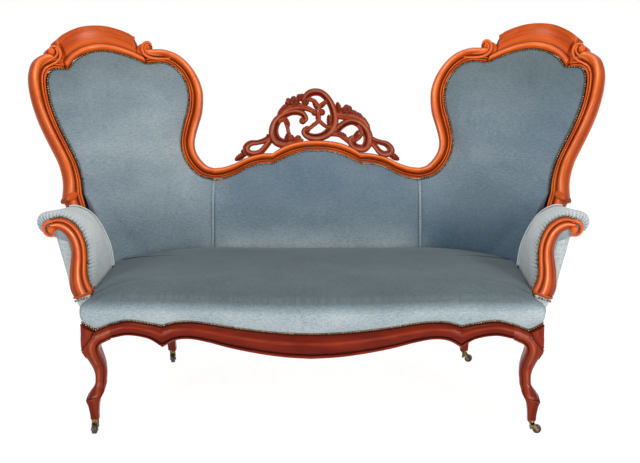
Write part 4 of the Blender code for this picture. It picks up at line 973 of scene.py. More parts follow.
    def reed(self, spot: tuple[float, float], rows: Rows) -> Shell:
        """A round reed laid along a curve on the frame.

        Args:
            spot: Middle of its scroll, from the seat corner.
            rows: Distance x and z from there, height out of the back and radius, in millimetres.

        Returns:
            The closed skin.
        """
        (x, z), = self.size.from_corner((spot,))
        path = curve(np.asarray(rows, float) / 1000.0, 8)
        run = unit(np.gradient(path[:, :2], axis=0))
        turns = circle(14)
        side = path[:, 3:] * np.cos(turns)
        lift = path[:, 2:3] + path[:, 3:] * np.sin(turns)
        rings = self.size.on_back(x + path[:, :1] - run[:, 1:] * side, z + path[:, 1:2] + run[:, :1] * side, lift)
        # Painted shade on the reed's sides and rear; painted highlight near its front.
        hollow = clamp(0.75 - 1.6 * np.sin(turns))[None, :]
        worn = 0.45 * ridge(turns, 0.42 * math.pi, 0.30)[None, :]
        return Shell.loft(rings, run=travel(path[:, :2])[:, None], cross=side, hollow=hollow, shine=worn)

    def knob(self, spot: tuple[float, float], half: float, low: float, ball: float = 0.0,
             rear: float = -0.019) -> Shell:
        """A drum that fills a scroll, with or without a ball in its eye.

        Args:
            spot: Middle of the scroll, from the seat corner.
            half: Radius of the drum.
            low: Height of its front out of the back, where the ball sits.
            ball: Radius of the ball, or 0 for none.
            rear: Height of its rear end.

        Returns:
            The skins of drum and ball.
        """
        size = self.size
        (x, z), = size.from_corner((spot,))
        wide = np.array((0.92, 1.0, 1.0, 0.95, 0.80, 0.40))[:, None] * half
        level = np.array((rear, rear + 0.003, low - 0.004, low - 0.0018, low - 0.0004, low))[:, None]
        turns = circle(28)
        drum = size.on_back(x + wide * np.cos(turns), z + wide * np.sin(turns), level)
        # Painted shade: with a ball, the drum's front rings are dark round it; without one, its sides are dark and its
        # front light.
        shade = np.array((0.3, 0.3, 0.3, 0.6, 1.0, 1.0) if ball else (0.8, 0.8, 0.8, 0.3, 0.1, 0.1))[:, None]
        shell = Shell.loft(drum, run=level, cross=wide * turns, hollow=shade)
        if not ball:
            return shell
        return shell + dome(size.on_back(x, z, low), size.facing(np.array(x), np.array(z)), ball, ball, 20, 8, 0.5,
                            run=x, cross=z, hollow=0.0)

    def uprights(self) -> Shell:
        """Right upright: its post in the arm, the moulded sweep, its scroll and the small knob at its base.

        Returns:
            The closed skin.
        """
        size = self.size
        section = self.moulding()
        stations = curve(size.from_corner(self.upright), 7)
        depth = (section[:, 1] + size.frame_rear) / (size.frame_front + size.frame_rear)
        rings = []
        for place, rise in ((self.post_foot, size.gap), (self.post_knee, self.post_knee_z)):
            x = size.seat_half + place[0] + (section[:, 0] - 0.5) * self.post_wide
            y = place[1] + (0.5 - depth) * self.post_deep
            rings.append(np.column_stack((x, y, np.full(len(x), size.seat_z + rise))))
        sweep = self.swept(stations, section, (0.0, self.end_cove))
        rings = np.concatenate((rings, sweep.points.reshape(len(stations), -1, 3)))
        post = size.from_corner(((self.post_foot[0], 0.0) * 2, (self.post_knee[0], self.post_knee_z) * 2))
        body = self.member(np.vstack((post, stations)), section, rings)
        reeds = [self.reed(self.outer_knob, rows) for rows in self.outer_reeds]
        scroll = self.knob(self.outer_knob, *self.outer_eye)
        fillers = [self.knob(row[:2], *row[2:]) for row in self.outer_fillers]
        base = self.knob(self.base_knob, *self.base_drum)
        return joined((body, scroll, *fillers, base, *reeds))

    def tablets(self) -> Shell:
        """Right tablet: the frieze section, coved back and hollowed at both ends.

        Returns:
            The closed skin.
        """
        section = self.frieze()
        stations = curve(self.size.from_corner(self.tablet), 10)
        run = travel(stations[:, :2])
        start, end = run / self.end_cove, (run[-1] - run) / self.end_cove
        near = clamp(1.0 - np.minimum(start, end))[:, None]
        face = clamp((section[:, 0] - 0.29) / 0.05) * (section[:, 1] > -0.01)
        drop = 0.55 * self.size.frame_front * np.sqrt(1.0 - (1.0 - near) ** 2) * face
        spot = self.spread(stations, section)
        hand = np.where(start < end, 1.0, -1.0)[:, None]
        belly = np.sin(math.pi * clamp((section[:, 0] - 0.35) / 0.6))
        x = spot[..., 0] + hand * near**2 * self.end_hollow * belly
        rings = self.size.on_back(x, spot[..., 1], section[None, :, 1] - drop)
        shell = self.member(stations, section, rings)
        # Painted shade in the coves at both ends of the frieze.
        shade = section[None, :, 2] + 0.75 * ridge(near, 0.92, 0.22) * face + 0.5 * ridge(near, 0.08, 0.1) * face
        shell.marks["hollow"] = clamp(np.broadcast_to(shade, rings.shape[:2])).ravel()
        # Painted highlight along the bead.
        worn = 0.35 * ridge(section[:, 0], 0.14, 0.03) * (section[:, 1] > 0.0)
        shell.marks["shine"] = np.broadcast_to(worn, rings.shape[:2]).ravel()
        return shell

    def shoulders(self) -> Shell:
        """Right shoulder rail with the scroll beside the tablet.

        Returns:
            The closed skin.
        """
        stations = curve(self.size.from_corner(self.shoulder), 7)
        reeds = [self.reed(self.inner_knob, rows) for rows in self.inner_reeds]
        scroll = self.knob(self.inner_knob, *self.inner_eye)
        fillers = [self.knob(row[:2], *row[2:]) for row in self.inner_fillers]
        return joined((self.swept(stations, self.moulding(), (self.end_cove, 0.0)), scroll, *fillers, *reeds))

    def centre_stations(self) -> Array:
        """Stations of the centre rail from joint to joint, with corners at the two cusps.

        Returns:
            The stations.
        """
        right = chain((self.hump, self.wing), 8)
        rows = np.vstack((right[:0:-1] * (-1.0, 1.0, 1.0), right))
        high, low = rows[:, 1] + self.size.seat_z, rows[:, 2] + self.size.seat_z
        return np.column_stack((rows[:, 0], high, rows[:, 0], low))

    def nailed_edge(self) -> Array:
        """Inner edge of the frame over the right raised end, from the arm over the top to the joint.

        Returns:
            Points of the edge.
        """
        size = self.size
        runs = (self.upright, self.tablet[::-1], self.shoulder)
        return np.vstack([curve(size.from_corner(run), 8)[:, 2:] for run in runs])

    def build(self, shop: Workshop, coat: Coat) -> None:
        """Makes the frame's pieces.

        Args:
            shop: Where pieces are made.
            coat: Its finish.
        """
        parts = (("back_upright_", self.uprights()), ("crest_tablet_", self.tablets()),
                 ("shoulder_rail_", self.shoulders()))
        for side in Side:
            for name, shell in parts:
                shop.add("polished_" + name + side.label, shell.on(side), coat, [name + side.label])
        rail = self.swept(self.centre_stations(), self.moulding())
        shop.add("polished_centre_rail", rail, coat, ["centre_top_rail"])


@dataclass(frozen=True)
class Crest:
    """Pierced carving on the centre rail; x and z in millimetres from the top of its hump, then half width."""

    size: Layout
    frame: BackFrame
    ring: Rows = (
        (-40, 118, 7.5), (-37, 133, 9.5), (-25, 147, 11.0), (-6, 153, 11.0), (16, 149, 10.6), (36, 131, 10.8),
        (50, 106, 11.2), (57, 79, 12.2), (55, 51, 13.6), (42, 28, 14.0), (19, 13, 12.4), (-6, 9, 11.6),
        (-27, 14, 11.0), (-39, 26, 10.0), (-34, 38, 8.0),
    )
    left: Rows = (
        (-80, -3, 10.0), (-104, -10, 13.8), (-127, -2, 15.4), (-138, 17, 15.0), (-138, 39, 14.0),
        (-129, 60, 13.0), (-112, 76, 11.6), (-89, 87, 9.6), (-64, 90, 9.2), (-44, 83, 9.0), (-36, 69, 8.6),
        (-45, 60, 8.0),
    )
    right: Rows = (
        (55, 22, 10.0), (71, 38, 10.6), (90, 53, 10.6), (114, 60, 10.8), (138, 52, 12.4), (157, 33, 13.8),
        (166, 12, 14.4), (165, -9, 14.4), (153, -25, 12.6), (132, -24, 11.6), (116, -13, 11.4), (111, 2, 10.0),
        (121, 10, 7.4),
    )
    tails: Sequence[Rows] = (
        ((-143, 16, 10.0), (-166, 1, 8.8), (-190, -6, 7.6), (-214, -9, 9.0), (-228, -22, 10.4), (-223, -37, 10.6),
         (-205, -43, 10.2), (-184, -38, 9.4), (-168, -23, 9.0), (-150, 0, 9.0)),
        ((168, 8, 9.4), (189, -2, 8.6), (207, -7, 7.8), (226, -13, 9.2), (239, -27, 10.4), (236, -40, 10.6),
         (219, -44, 9.6), (203, -36, 8.8), (189, -19, 8.2), (173, -3, 8.8)),
    )
    stems: Sequence[Rows] = (
        ((-10, 92, 7.0), (-36, 103, 9.0), (-64, 107, 11.0), (-96, 98, 11.0), (-122, 76, 8.4)),
        ((6, 92, 6.0), (6, 64, 6.6), (-14, 45, 5.8), (-31, 34, 7.0)),
        ((6, 64, 6.6), (29, 45, 5.8), (50, 40, 7.0)),
        ((6, 94, 6.0), (12, 110, 6.0), (34, 124, 7.0)),
        ((8, 104, 6.0), (-7, 124, 6.4), (-29, 132, 7.0)),
        ((60, 78, 10.0), (90, 77, 12.0), (125, 70, 12.6), (154, 54, 11.4), (168, 20, 9.0)),
        ((-124, 62, 6.4), (-103, 66, 8.0), (-95, 45, 6.4), (-91, 26, 5.6), (-84, 5, 8.0)),
        ((133, 49, 5.4), (145, 27, 6.4), (138, 9, 6.0), (120, -2, 6.4)),
        ((48, 20, 7.0), (74, 17, 7.6), (96, 3, 8.0), (114, -11, 8.0)),
        ((-50, 8, 9.4), (-57, -2, 9.4), (-80, -9, 9.0)),
    )
    roses: Rows = ((-72, 123, 18.5), (98, 96, 18.0), (-36, 123, 13.5))
    berries: Rows = (
        (-6, 88, 11.4), (17, 89, 11.4), (5, 72, 9.6), (-31, 35, 11.6), (-45, 62, 11.8), (-84, 7, 12.8),
        (-60, 6, 11.4), (118, 0, 13.0), (146, -24, 10.4), (-222, -17, 9.6), (235, -24, 9.6), (-50, 108, 10.0),
        (-57, 140, 8.0), (-92, 128, 7.5),
    )
    leaves: Rows = (
        (-102, 104, 18, 12, 212), (-52, 136, 15, 11, 48), (-88, 117, 15, 11, 165), (-58, 112, 16, 11, -25),
        (-116, 90, 14, 10, 232), (-76, 106, 15, 10, 200), (71, 103, 19, 11, 104), (120, 86, 17, 11, -18),
        (138, 76, 16, 11, -34), (154, 60, 15, 10, -56), (83, 86, 16, 11, 170), (165, 42, 13, 9, -75),
        (41, 60, 22, 10, 97), (-97, 60, 19, 10, 112), (80, 18, 18, 10, -15), (130, -24, 19, 10, -10),
        (127, 16, 18, 9, 62), (-5, 112, 15, 8, 118), (22, 114, 16, 8, 48), (-13, 47, 17, 7, 218),
        (26, 47, 17, 7, -38), (-94, 12, 17, 10, 70), (-68, 1, 16, 10, 15), (-249, -53, 19, 12, 212),
        (-236, -40, 13, 10, 120), (251, -53, 19, 12, -32), (243, -38, 13, 10, 55), (-151, 8, 16, 9, 130),
        (172, -4, 16, 9, 60), (103, 66, 15, 9, 10), (-50, 92, 14, 9, -20),
    )
    flat: float = 0.62
    least: float = 4.5
    broad: float = 1.10
    channel_side: float = -0.42
    scroll_channel: float = 0.55
    tail_channel: float = 0.35

    def spot(self, x: Any, z: Any, out: Any) -> Array:
        """A place of the crest; all in millimetres."""
        top = self.size.seat_z + self.frame.hump[0][1]
        return self.size.on_back(np.asarray(x) / 1000.0, top + np.asarray(z) / 1000.0, np.asarray(out) / 1000.0)

    def band(self, rows: Rows, channel: float) -> Shell:
        """A carved band: a rounded section of changing width, with a channel down its front.

        Args:
            rows: Its line and half widths.
            channel: Depth of the channel, as a share of its half depth.

        Returns:
            The closed skin.
        """
        path = curve(rows, 10)
        run = unit(np.gradient(path[:, :2], axis=0))
        turns = circle(32)
        wide, half = self.broad * path[:, 2:3], self.flat * path[:, 2:3] + self.least
        side, lift = blunt(np.cos(turns), 0.8), blunt(np.sin(turns), 0.7)
        ahead = np.sin(turns) > 0.0
        dip = channel * ridge(side, self.channel_side, 0.26) * ahead
        lift = np.where(lift < 0.0, 0.75 * lift, lift * (1.0 + 0.10 * side) - dip)
        x = path[:, :1] - run[:, 1:] * wide * side
        z = path[:, 1:2] + run[:, :1] * wide * side
        # Painted shade in the channel and on the band's sides and rear; painted highlight on its front.
        shade = 1.1 * ridge(side, self.channel_side, 0.22) * ahead * min(channel * 2.2, 1.0)
        hollow = clamp(shade + np.clip(0.9 - 1.5 * np.sin(turns), 0.0, 0.8))
        along = travel(path[:, :2])[:, None] / 1000.0
        worn = 0.42 * ridge(side, 0.30, 0.16) * ahead
        return Shell.loft(self.spot(x, z, half * lift), run=along, cross=0.012 * side, hollow=hollow, shine=worn)

    def leaf(self, x: float, z: float, long: float, wide: float, turn: float) -> Shell:
        """A pointed leaf with lobed edges, a midrib and a lifted tip.

        Args:
            x: Middle of the leaf.
            z: Middle of the leaf.
            long: Half its length.
            wide: Half its width.
            turn: Direction of its tip, in degrees.

        Returns:
            The closed skin.
        """
        angle = math.radians(turn)
        share = np.linspace(-1.0, 1.0, 33)[:, None]
        turns = circle(20)
        reach = np.sqrt(np.clip(1.0 - np.abs(share) ** 2.2, 0.0015, 1.0)) * (1.0 - 0.18 * share)
        lobes = 1.0 - 0.20 * np.abs(np.sin(2.5 * math.pi * (share + 0.1)))
        side = wide * reach * lobes * np.cos(turns)
        ribs = 0.14 * np.cos(5.0 * math.pi * share + 3.0 * np.abs(np.cos(turns)))
        crown = 0.62 + 0.28 * ridge(np.cos(turns), 0.0, 0.22) + ribs * np.abs(np.cos(turns))
        front = wide * reach * np.sin(turns) * crown + 2.5 + 4.0 * clamp(share) ** 2
        lift = np.where(np.sin(turns) >= 0.0, front, 0.8 * wide * reach * np.sin(turns) + 1.0)
        along = long * share
        place_x = x + along * math.cos(angle) - side * math.sin(angle)
        place_z = z + along * math.sin(angle) + side * math.cos(angle)
        # Painted shade in two lines beside the midrib and on the leaf's sides and rear.
        under = np.clip(0.8 - 1.6 * np.sin(turns), 0.0, 0.9)
        hollow = clamp(0.8 * ridge(np.abs(np.cos(turns)), 0.42, 0.2) + under)
        return Shell.loft(self.spot(place_x, place_z, lift), run=along / 1000.0, cross=side / 1000.0, hollow=hollow)

    def rose(self, x: float, z: float, half: float) -> Shell:
        """A rose: a dome whose height steps along a spiral, so that petals overlap round it.

        Args:
            x: Distance from the middle.
            z: Height.
            half: Its radius or half width.

        Returns:
            The closed skin.
        """
        share = np.linspace(0.02, 1.0, 22)[:, None]
        turns = circle(48)
        spiral = (3.0 * share + turns / (2.0 * math.pi) * 2.0) % 1.0
        petal = np.abs(np.cos(2.5 * turns + 5.0 * share))
        edge = half * share * (1.0 - 0.14 * share * (1.0 - petal))
        lift = half * (0.95 * np.sqrt(1.02 - share**2) + 0.16 * (spiral - 0.5) + 0.08 * petal)
        skirt = np.array((1.0, 0.85, 0.5))[:, None]
        below = -half * np.array((0.25, 0.55, 0.75))[:, None]
        wide = np.vstack((edge, edge[-1:] * skirt))
        high = np.vstack((lift, np.broadcast_to(below, (3, len(turns)))))
        # Painted shade in the steps between petals and under the skirt.
        hollow = np.vstack((1.0 - spiral * 0.9, np.full((3, len(turns)), 0.6))) ** 3
        rings = self.spot(x + wide * np.cos(turns), z + wide * np.sin(turns), high)
        return Shell.loft(rings, run=wide / 1000.0, cross=turns / 200.0, hollow=hollow)

    def berry(self, x: float, z: float, half: float) -> Shell:
        """A ball, as level rings from rear to front.

        Args:
            x: Distance from the middle.
            z: Height.
            half: Its radius or half width.

        Returns:
            The closed skin.
        """
        rise = np.linspace(-0.46 * math.pi, 0.48 * math.pi, 13)[:, None]
        turns = circle(20)
        wide = half * np.cos(rise)
        rings = self.spot(x + wide * np.cos(turns), z + wide * np.sin(turns), half * np.sin(rise))
        # Painted shade towards the ball's rear.
        return Shell.loft(rings, run=rise / 100.0, cross=turns / 300.0, hollow=clamp(-np.sin(rise)) ** 2)

    def build(self, shop: Workshop, coat: Coat) -> None:
        """Makes the carving as one piece.

        Args:
            shop: Where pieces are made.
            coat: Its finish.
        """
        shells = [self.band(rows, self.scroll_channel) for rows in (self.ring, self.left, self.right)]
        shells += [self.band(rows, self.tail_channel) for rows in self.tails]
        shells += [self.band(rows, 0.0) for rows in self.stems]
        shells += [self.rose(*row) for row in self.roses]
        shells += [self.berry(*row) for row in self.berries]
        shells += [self.leaf(*row) for row in self.leaves]
        shop.add("carved_crest", joined(shells), coat, ["pierced_crest"], sharp=55.0)


@dataclass(frozen=True)
class SeatFrame:
    """Serpentine front rail, cabriole front legs and raked rear legs."""

    size: Layout
    end: Rows = mm((552, -7, -45.5), (505, 3, -37), (450, -4.5, -46.5), (411, -13, -71))
    belly: Rows = mm(
        (411, -13, -71), (375, -2, -51), (333, 1, -46.5), (280, -3, -55), (225, -11, -68), (150, -18.5, -81),
        (75, -24, -90), (0, -26, -94),
    )
    face_y: float = -0.022
    bow: float = 0.030
    thick: float = 0.030
    cusp_x: float = 0.411
    joint_in: float = 0.068
    leg_in: float = 0.006
    foot_z: float = 0.0403
    leg_back: float = 0.032
    dip_in: float = 0.025
    dip: float = 0.025
    foot: Rows = mm(
        (0, 11.8, -11.8), (11, 12.4, -12.2), (22, 13.8, -13.2), (38, 16.6, -15.6), (48, 19.6, -19.6),
        (53.8, 21.3, -23), (56, 20.9, -23.8), (56.6, 18.5, -22.5),
    )
    lip: float = 0.0566
    slant: float = 0.52
    shaft: Rows = mm(
        (34, 10, -15), (50, 15, -21), (55.2, 16.8, -27.5), (59.2, 16.8, -29.2), (64.8, 14.8, -30.2),
        (73.2, 9.5, -31.2), (81.2, 4.5, -32.2), (94.5, -0.8, -33.8), (111.7, -3, -35), (132.7, -2, -37),
        (164.7, 7, -36), (198.7, 18, -28), (214.7, 20.5, -26), (227.7, 21, -33), (238.7, 21, -54), (244.2, 21, -61.8),
        (263.7, 19.5, -61.8),
    )
    petal_line: Rows = mm((-23.5, -24), (12.5, -74))
    rear_x: float = 0.485
    rear_run: float = 0.072
    rear_top: float = 0.036
    rear_foot: float = 0.026
    rear_head_z: float = 0.2738

    def rail_stations(self) -> Array:
        """Stations x, upper z and lower z of the front rail, with corners at its two cusps.

        Returns:
            The stations.
        """
        right = chain((self.end, self.belly), 9)
        rows = np.vstack((right * (-1.0, 1.0, 1.0), right[-2::-1]))
        return rows + (0.0, self.size.seat_z, self.size.seat_z)

    def face(self, x: Array) -> Array:
        """Depth y of the rail's face: straight at the ends, bowed forward between the cusps."""
        share = clamp(1.0 - (np.asarray(x) / self.cusp_x) ** 2)
        return self.face_y - self.bow * share**2

    def rail_section(self) -> Array:
        """Section of the rail: a bead, a groove and an ovolo; share of height, forward, painted shade.

        Returns:
            Rows of the section.
        """
        back = ((1.0, -0.0005, 0.2), (1.0, -self.thick, 0.4), (0.0, -self.thick, 0.4), (0.0, 0.0, 0.4))
        bead = ((0.0, 0.0, 0.4), (0.010, 0.0045, 0.1), (0.045, 0.0085, 0.0), (0.095, 0.0092, 0.0),
                (0.140, 0.0078, 0.3), (0.165, 0.0050, 1.0))
        swell = ((0.165, 0.0050, 1.0), (0.185, 0.0046, 1.0), (0.215, 0.0074, 0.7), (0.30, 0.0110, 0.4),
                 (0.42, 0.0134, 0.15), (0.56, 0.0142, 0.0), (0.70, 0.0131, 0.0), (0.83, 0.0099, 0.1),
                 (0.93, 0.0055, 0.3), (0.985, 0.0012, 0.5), (1.0, -0.0005, 0.6))
        return np.vstack((chain((bead, swell), 4)[:-1], np.array(back)[:-1]))

    def rail(self) -> Shell:
        """The front rail, its section carried along the serpentine.

        Returns:
            The closed skin.
        """
        stations, section = self.rail_stations(), self.rail_section()
        x = stations[:, :1]
        z = stations[:, 2:3] + section[None, :, 0] * (stations[:, 1:2] - stations[:, 2:3])
        y = self.face(stations[:, 0])[:, None] - section[None, :, 1]
        cross = z + 0.5 * section[None, :, 1]
        # Painted highlight on the swell and on the bead.
        worn = 0.30 * ridge(section[:, 0], 0.66, 0.06) + 0.20 * ridge(section[:, 0], 0.08, 0.02)
        return Shell.loft(xyz(x, y, z), run=x, cross=cross, hollow=section[None, :, 2],
                          shine=(worn * (section[:, 1] > 0.0))[None, :])

    def nail_line(self, x: Array) -> Array:
        """Height of the upper edge of the front rail and of the leg heads, at a distance from the middle.

        Args:
            x: Distance from the middle.

        Returns:
            The heights.
        """
        stations = self.rail_stations()
        half = stations[len(stations) // 2:]
        dip = self.size.seat_half - self.dip_in
        xs = np.append(half[:, 0], (dip, self.size.seat_half + 0.016))
        zs = np.append(half[:, 1], (self.size.seat_z - self.dip, self.size.seat_z - 0.002))
        return np.interp(np.abs(x), xs, zs)

    def leg_rings(self, x_out: Array, x_in: Array, front: Array, back: Array, z: Array, power: Array) -> Array:
        """Levels of a leg as superellipses, rounder where the power is low.

        Args:
            x_out: Outer reach of each level, from the middle of the settee.
            x_in: Inner reach.
            front: Front reach.
            back: Rear reach.
            z: Height.
            power: Power of the superellipse.

        Returns:
            Rings of points.
        """
        turns = circle(112)[None, :]
        power = power[:, None]
        reach = (np.abs(np.cos(turns)) ** power + np.abs(np.sin(turns)) ** power) ** (-1.0 / power)
        x = 0.5 * (x_out + x_in)[:, None] + 0.5 * (x_out - x_in)[:, None] * reach * np.cos(turns)
        y = 0.5 * (front + back)[:, None] + 0.5 * (back - front)[:, None] * reach * np.sin(turns)
        return xyz(x, y, z[:, None])

    def inward(self, rings: Array) -> Array:
        """0 at the toe of the right foot and 1 at its inner back corner.

        Args:
            rings: Points of the leg.

        Returns:
            The shares.
        """
        stem = self.size.seat_half - self.leg_in
        toe = self.foot[5][1]
        return clamp(((stem + toe - rings[..., 0]) + (rings[..., 1] + toe)) / 0.091)

    def leg_foot(self) -> Shell:
        """Foot block of the right leg: a taper whose lip slants from the toe up to the inner side.

        Returns:
            The closed skin.
        """
        stem = self.size.seat_half - self.leg_in
        rows = curve(self.foot, 5)
        height, x_out, x_in = rows.T
        rings = self.leg_rings(stem + x_out, stem + x_in, -x_out, -x_in, self.foot_z + height, np.full(len(rows), 6.0))
        inward = self.inward(rings)
        rings[..., 2] += self.slant * height[:, None] * inward
        push = 0.0040 * inward * (height / self.lip)[:, None] ** 3
        rings[..., 0] -= push
        rings[..., 1] += push
        # Painted shade on the lip's top ring, and a little all over the foot.
        hollow = np.where(height > self.lip - 0.0002, 1.0, 0.15)[:, None]
        return Shell.loft(rings, run=rings[..., 2], cross=rings[..., 0] + rings[..., 1], hollow=hollow)

    def leg_shaft(self) -> Shell:
        """Shaft, knee and head of the right leg; the rail's bead, groove and swell run on down its inner edge.

        Returns:
            The closed skin.
        """
        stem = self.size.seat_half - self.leg_in
        joint = self.size.seat_half - self.joint_in + self.size.gap
        rows = curve(self.shaft, 7)
        height, x_out, x_in = rows.T
        drop = self.size.seat_z - self.foot_z - height
        front = -np.minimum(x_out + 0.010 * eased((0.150 - drop) / 0.040), 0.034)
        back = np.minimum(-x_in, self.leg_back)
        power = np.interp(drop, (0.03, 0.05, 0.075, 0.12, 0.25), (12.0, 8.0, 4.5, 3.2, 3.0))
        inner = np.maximum(stem + x_in, joint)
        rings = self.leg_rings(stem + x_out, inner, front, back, self.foot_z + height, power)
        fade = clamp((0.100 - height) / 0.050)[:, None]
        rings[..., 2] += self.slant * self.lip * self.inward(rings) * fade
        head = np.linspace(0.0, 1.0, 13)[1:, None]
        top = np.broadcast_to(rings[-1], (12, *rings.shape[1:])).copy()
        top[..., 2] += head * (self.nail_line(top[..., 0]) - top[..., 2])
        rings = np.concatenate((rings, top))
        edge = np.column_stack((inner, self.foot_z + height))[20:]
        low = self.rail_stations()
        low = low[low[:, 0] > 0.40]
        edge = np.vstack((edge[edge[:, 0] > joint + 0.001], low[:, [0, 2]]))
        gap = distance_to(edge, rings[..., 0], rings[..., 2])
        middle = 0.5 * (rings[..., 1].min(axis=1) + rings[..., 1].max(axis=1))[:, None]
        fore = clamp((middle - rings[..., 1]) / 0.012)
        section = self.rail_section()
        section = section[:section[:, 0].argmax() + 1]
        tall = low[-1, 1] - low[-1, 2]
        under = self.nail_line(rings[..., 0]) - rings[..., 2]
        peak = section[:, 1].argmax()
        swell = np.interp(gap, tall * section[:peak + 1, 0], section[:peak + 1, 1])
        swell = np.minimum(swell, np.interp(under, tall * (1.0 - section[:peak - 1:-1, 0]), section[:peak - 1:-1, 1]))
        ease = fore * eased((rings[..., 2] - 0.215) / 0.055)
        rings[..., 1] += ease * (self.face_y - swell - rings[..., 1])
        groove = ridge(gap, 0.0072, 0.0019) * fore
        rings[..., 1] += 0.0030 * groove * (1.0 - ease)
        top_end, low_end = self.size.from_corner(self.petal_line)
        along = unit(low_end - top_end)
        away = (rings[..., 0] - top_end[0]) * along[1] - (rings[..., 2] - top_end[1]) * along[0]
        within = (rings[..., 2] > low_end[1] - 0.004) * fore
        cut = ridge(away, 0.0, 0.0034) * within
        rings[..., 1] += 0.0030 * cut
        # Painted shade in the groove and in the petal's cut line; painted highlight along the swell.
        hollow = clamp(0.8 * groove + 0.95 * cut)
        worn = 0.40 * ridge(gap, 0.021, 0.0035) * fore
        return Shell.loft(rings, run=rings[..., 2], cross=rings[..., 0] + 0.7 * rings[..., 1],
                          hollow=hollow, shine=worn)

    def leg_petal(self) -> Shell:
        """Carved petal on the outer corner of the right leg's head, with a bead and a tail under it.

        Returns:
            The closed skin.
        """
        size = self.size
        share = np.linspace(0.0, 1.0, 25)[:, None]
        turns = circle(24)
        left = np.array((size.seat_half - 0.021, size.seat_z - 0.025))
        right = np.array((size.seat_half + 0.0155, size.seat_z - 0.005))
        tip = np.array((size.seat_half + 0.0150, size.seat_z - 0.072))
        bow = 0.0055 * np.sin(math.pi * share)
        a = left + share * (tip - left) - bow * (1.0, 0.35)
        b = right + share * (tip - right)
        wide = 0.5 * np.linalg.norm(b - a, axis=1, keepdims=True) + 0.0012
        mid = 0.5 * (a + b)
        spot = mid[:, None] + np.cos(turns)[None, :, None] * (0.5 * (b - a))[:, None]
        over = clamp((spot[..., 0] - size.seat_half) / 0.016)
        high = np.minimum(0.0100, 0.60 * wide) * np.sin(turns)
        y = self.face_y - 0.0115 + 0.011 * over**2 - high
        x = spot[..., 0] + 0.004 * over * clamp(np.sin(turns))
        # Painted shade round the petal's rim.
        rim_dark = clamp(1.20 - 1.55 * np.sin(turns))
        petal = Shell.loft(xyz(x, y, spot[..., 1]), run=-0.06 * share, cross=wide * np.cos(turns), hollow=rim_dark)
        out = unit(np.array((0.55, -0.83, 0.0)))
        foot = np.array((size.seat_half + 0.0125, self.face_y - 0.0065, size.seat_z - 0.0775))
        bead = dome(foot, out, 0.0042, 0.0050, 14, 5, run=0.0, cross=0.0, hollow=0.0)
        down = np.linspace(0.0, 1.0, 14)[:, None]
        path = foot - (0.0, 0.0, 0.005) + down * np.array((-0.0085, 0.0050, -0.024))
        tail = tube(path, 0.0034 * (1.0 - down[:, 0]) + 0.0004, 10, cross=0.0, hollow=0.1)
        return joined((petal, bead, tail))

    def rear_place(self) -> tuple[float, float]:
        """Plan place of a rear leg's head, under the bent side rail.

        Returns:
            Its x and y.
        """
        size = self.size
        lean = (self.rear_x - size.seat_half + size.bend_low) / size.bend_low
        return self.rear_x, size.back_y - size.bend_low * (1.0 - math.sqrt(1.0 - lean**2))

    def rear_leg(self) -> Shell:
        """Right rear leg: a square taper that sweeps back, with softened corners.

        Returns:
            The closed skin.
        """
        x, y = self.rear_place()
        share = np.linspace(0.0, 1.0, 24)
        half = 0.5 * (self.rear_top + share * (self.rear_foot - self.rear_top))
        back = y + self.rear_run * share**1.4
        z = self.rear_head_z + share * (self.foot_z - self.rear_head_z)
        rings = self.leg_rings(x + half, x - half, back - half, back + half, z, np.full(24, 9.0))
        return Shell.loft(rings, run=rings[..., 2], cross=rings[..., 0] + rings[..., 1], hollow=0.1)

    def build(self, shop: Workshop, coat: Coat, leg_coat: Coat) -> None:
        """Makes rail and legs.

        Args:
            shop: Where pieces are made.
            coat: Its finish.
            leg_coat: The legs' finish.
        """
        shop.add("polished_front_rail", self.rail(), coat, ["front_seat_rail"])
        leg = joined((self.leg_foot(), self.leg_shaft(), self.leg_petal()))
        for side in Side:
            shop.add("polished_front_leg_" + side.label, leg.on(side), leg_coat, ["front_leg_" + side.label])
            shop.add("polished_rear_leg_" + side.label, self.rear_leg().on(side), leg_coat, ["rear_leg_" + side.label])


@dataclass(frozen=True)
class Stuffing:
    """Swells a pad by a short cloth simulation under pressure, held where it is nailed or hidden."""

    pressure: float = 4.0
    frames: int = 20
    stiffness: float = 22.0

    def swell(self, pad: bpy.types.Object, held: Array, most: float) -> None:
        """Runs the simulation and keeps its result in the mesh.

        Args:
            pad: The pad.
            held: Whether each point stays where it is.
            most: Furthest that a point may move.
        """
        scene = bpy.context.scene
        count = len(pad.data.vertices)
        rest = np.empty(count * 3, np.float32)
        pad.data.vertices.foreach_get("co", rest)
        group = pad.vertex_groups.new(name="held")
        group.add(np.flatnonzero(held).tolist(), 1.0, "REPLACE")
        cloth = pad.modifiers.new("swell", "CLOTH")
        settings = cloth.settings
        settings.quality = 4
        settings.mass = 0.3
        settings.tension_stiffness = settings.compression_stiffness = self.stiffness
        settings.shear_stiffness = 0.5 * self.stiffness
        settings.bending_stiffness = 4.0
        settings.air_damping = 4.0
        settings.use_pressure = True
        settings.uniform_pressure_force = self.pressure
        settings.vertex_group_mass = group.name
        settings.effector_weights.gravity = 0.0
        cloth.point_cache.frame_end = self.frames
        for number in range(1, self.frames + 1):
            scene.frame_set(number)
        moved = np.empty(count * 3, np.float32)
        solved = pad.evaluated_get(bpy.context.evaluated_depsgraph_get())
        solved.data.vertices.foreach_get("co", moved)
        pad.modifiers.remove(cloth)
        pad.vertex_groups.remove(group)
        scene.frame_set(1)
        step = (moved - rest).reshape(-1, 3)
        length = np.linalg.norm(step, axis=1, keepdims=True)
        step *= most * np.tanh(length / most) / np.maximum(length, 1e-9)
        pad.data.vertices.foreach_set("co", rest + step.ravel())
        pad.data.update()
        LOG.info("%s swells by %.1f mm", pad.name, 1000.0 * float(np.linalg.norm(step, axis=1).max()))


def soften(piece: bpy.types.Object) -> None:
    """Adds one level of subdivision.

    Args:
        piece: The piece.
    """
    smooth = piece.modifiers.new("soft", "SUBSURF")
    smooth.levels = 1
    smooth.render_levels = 1


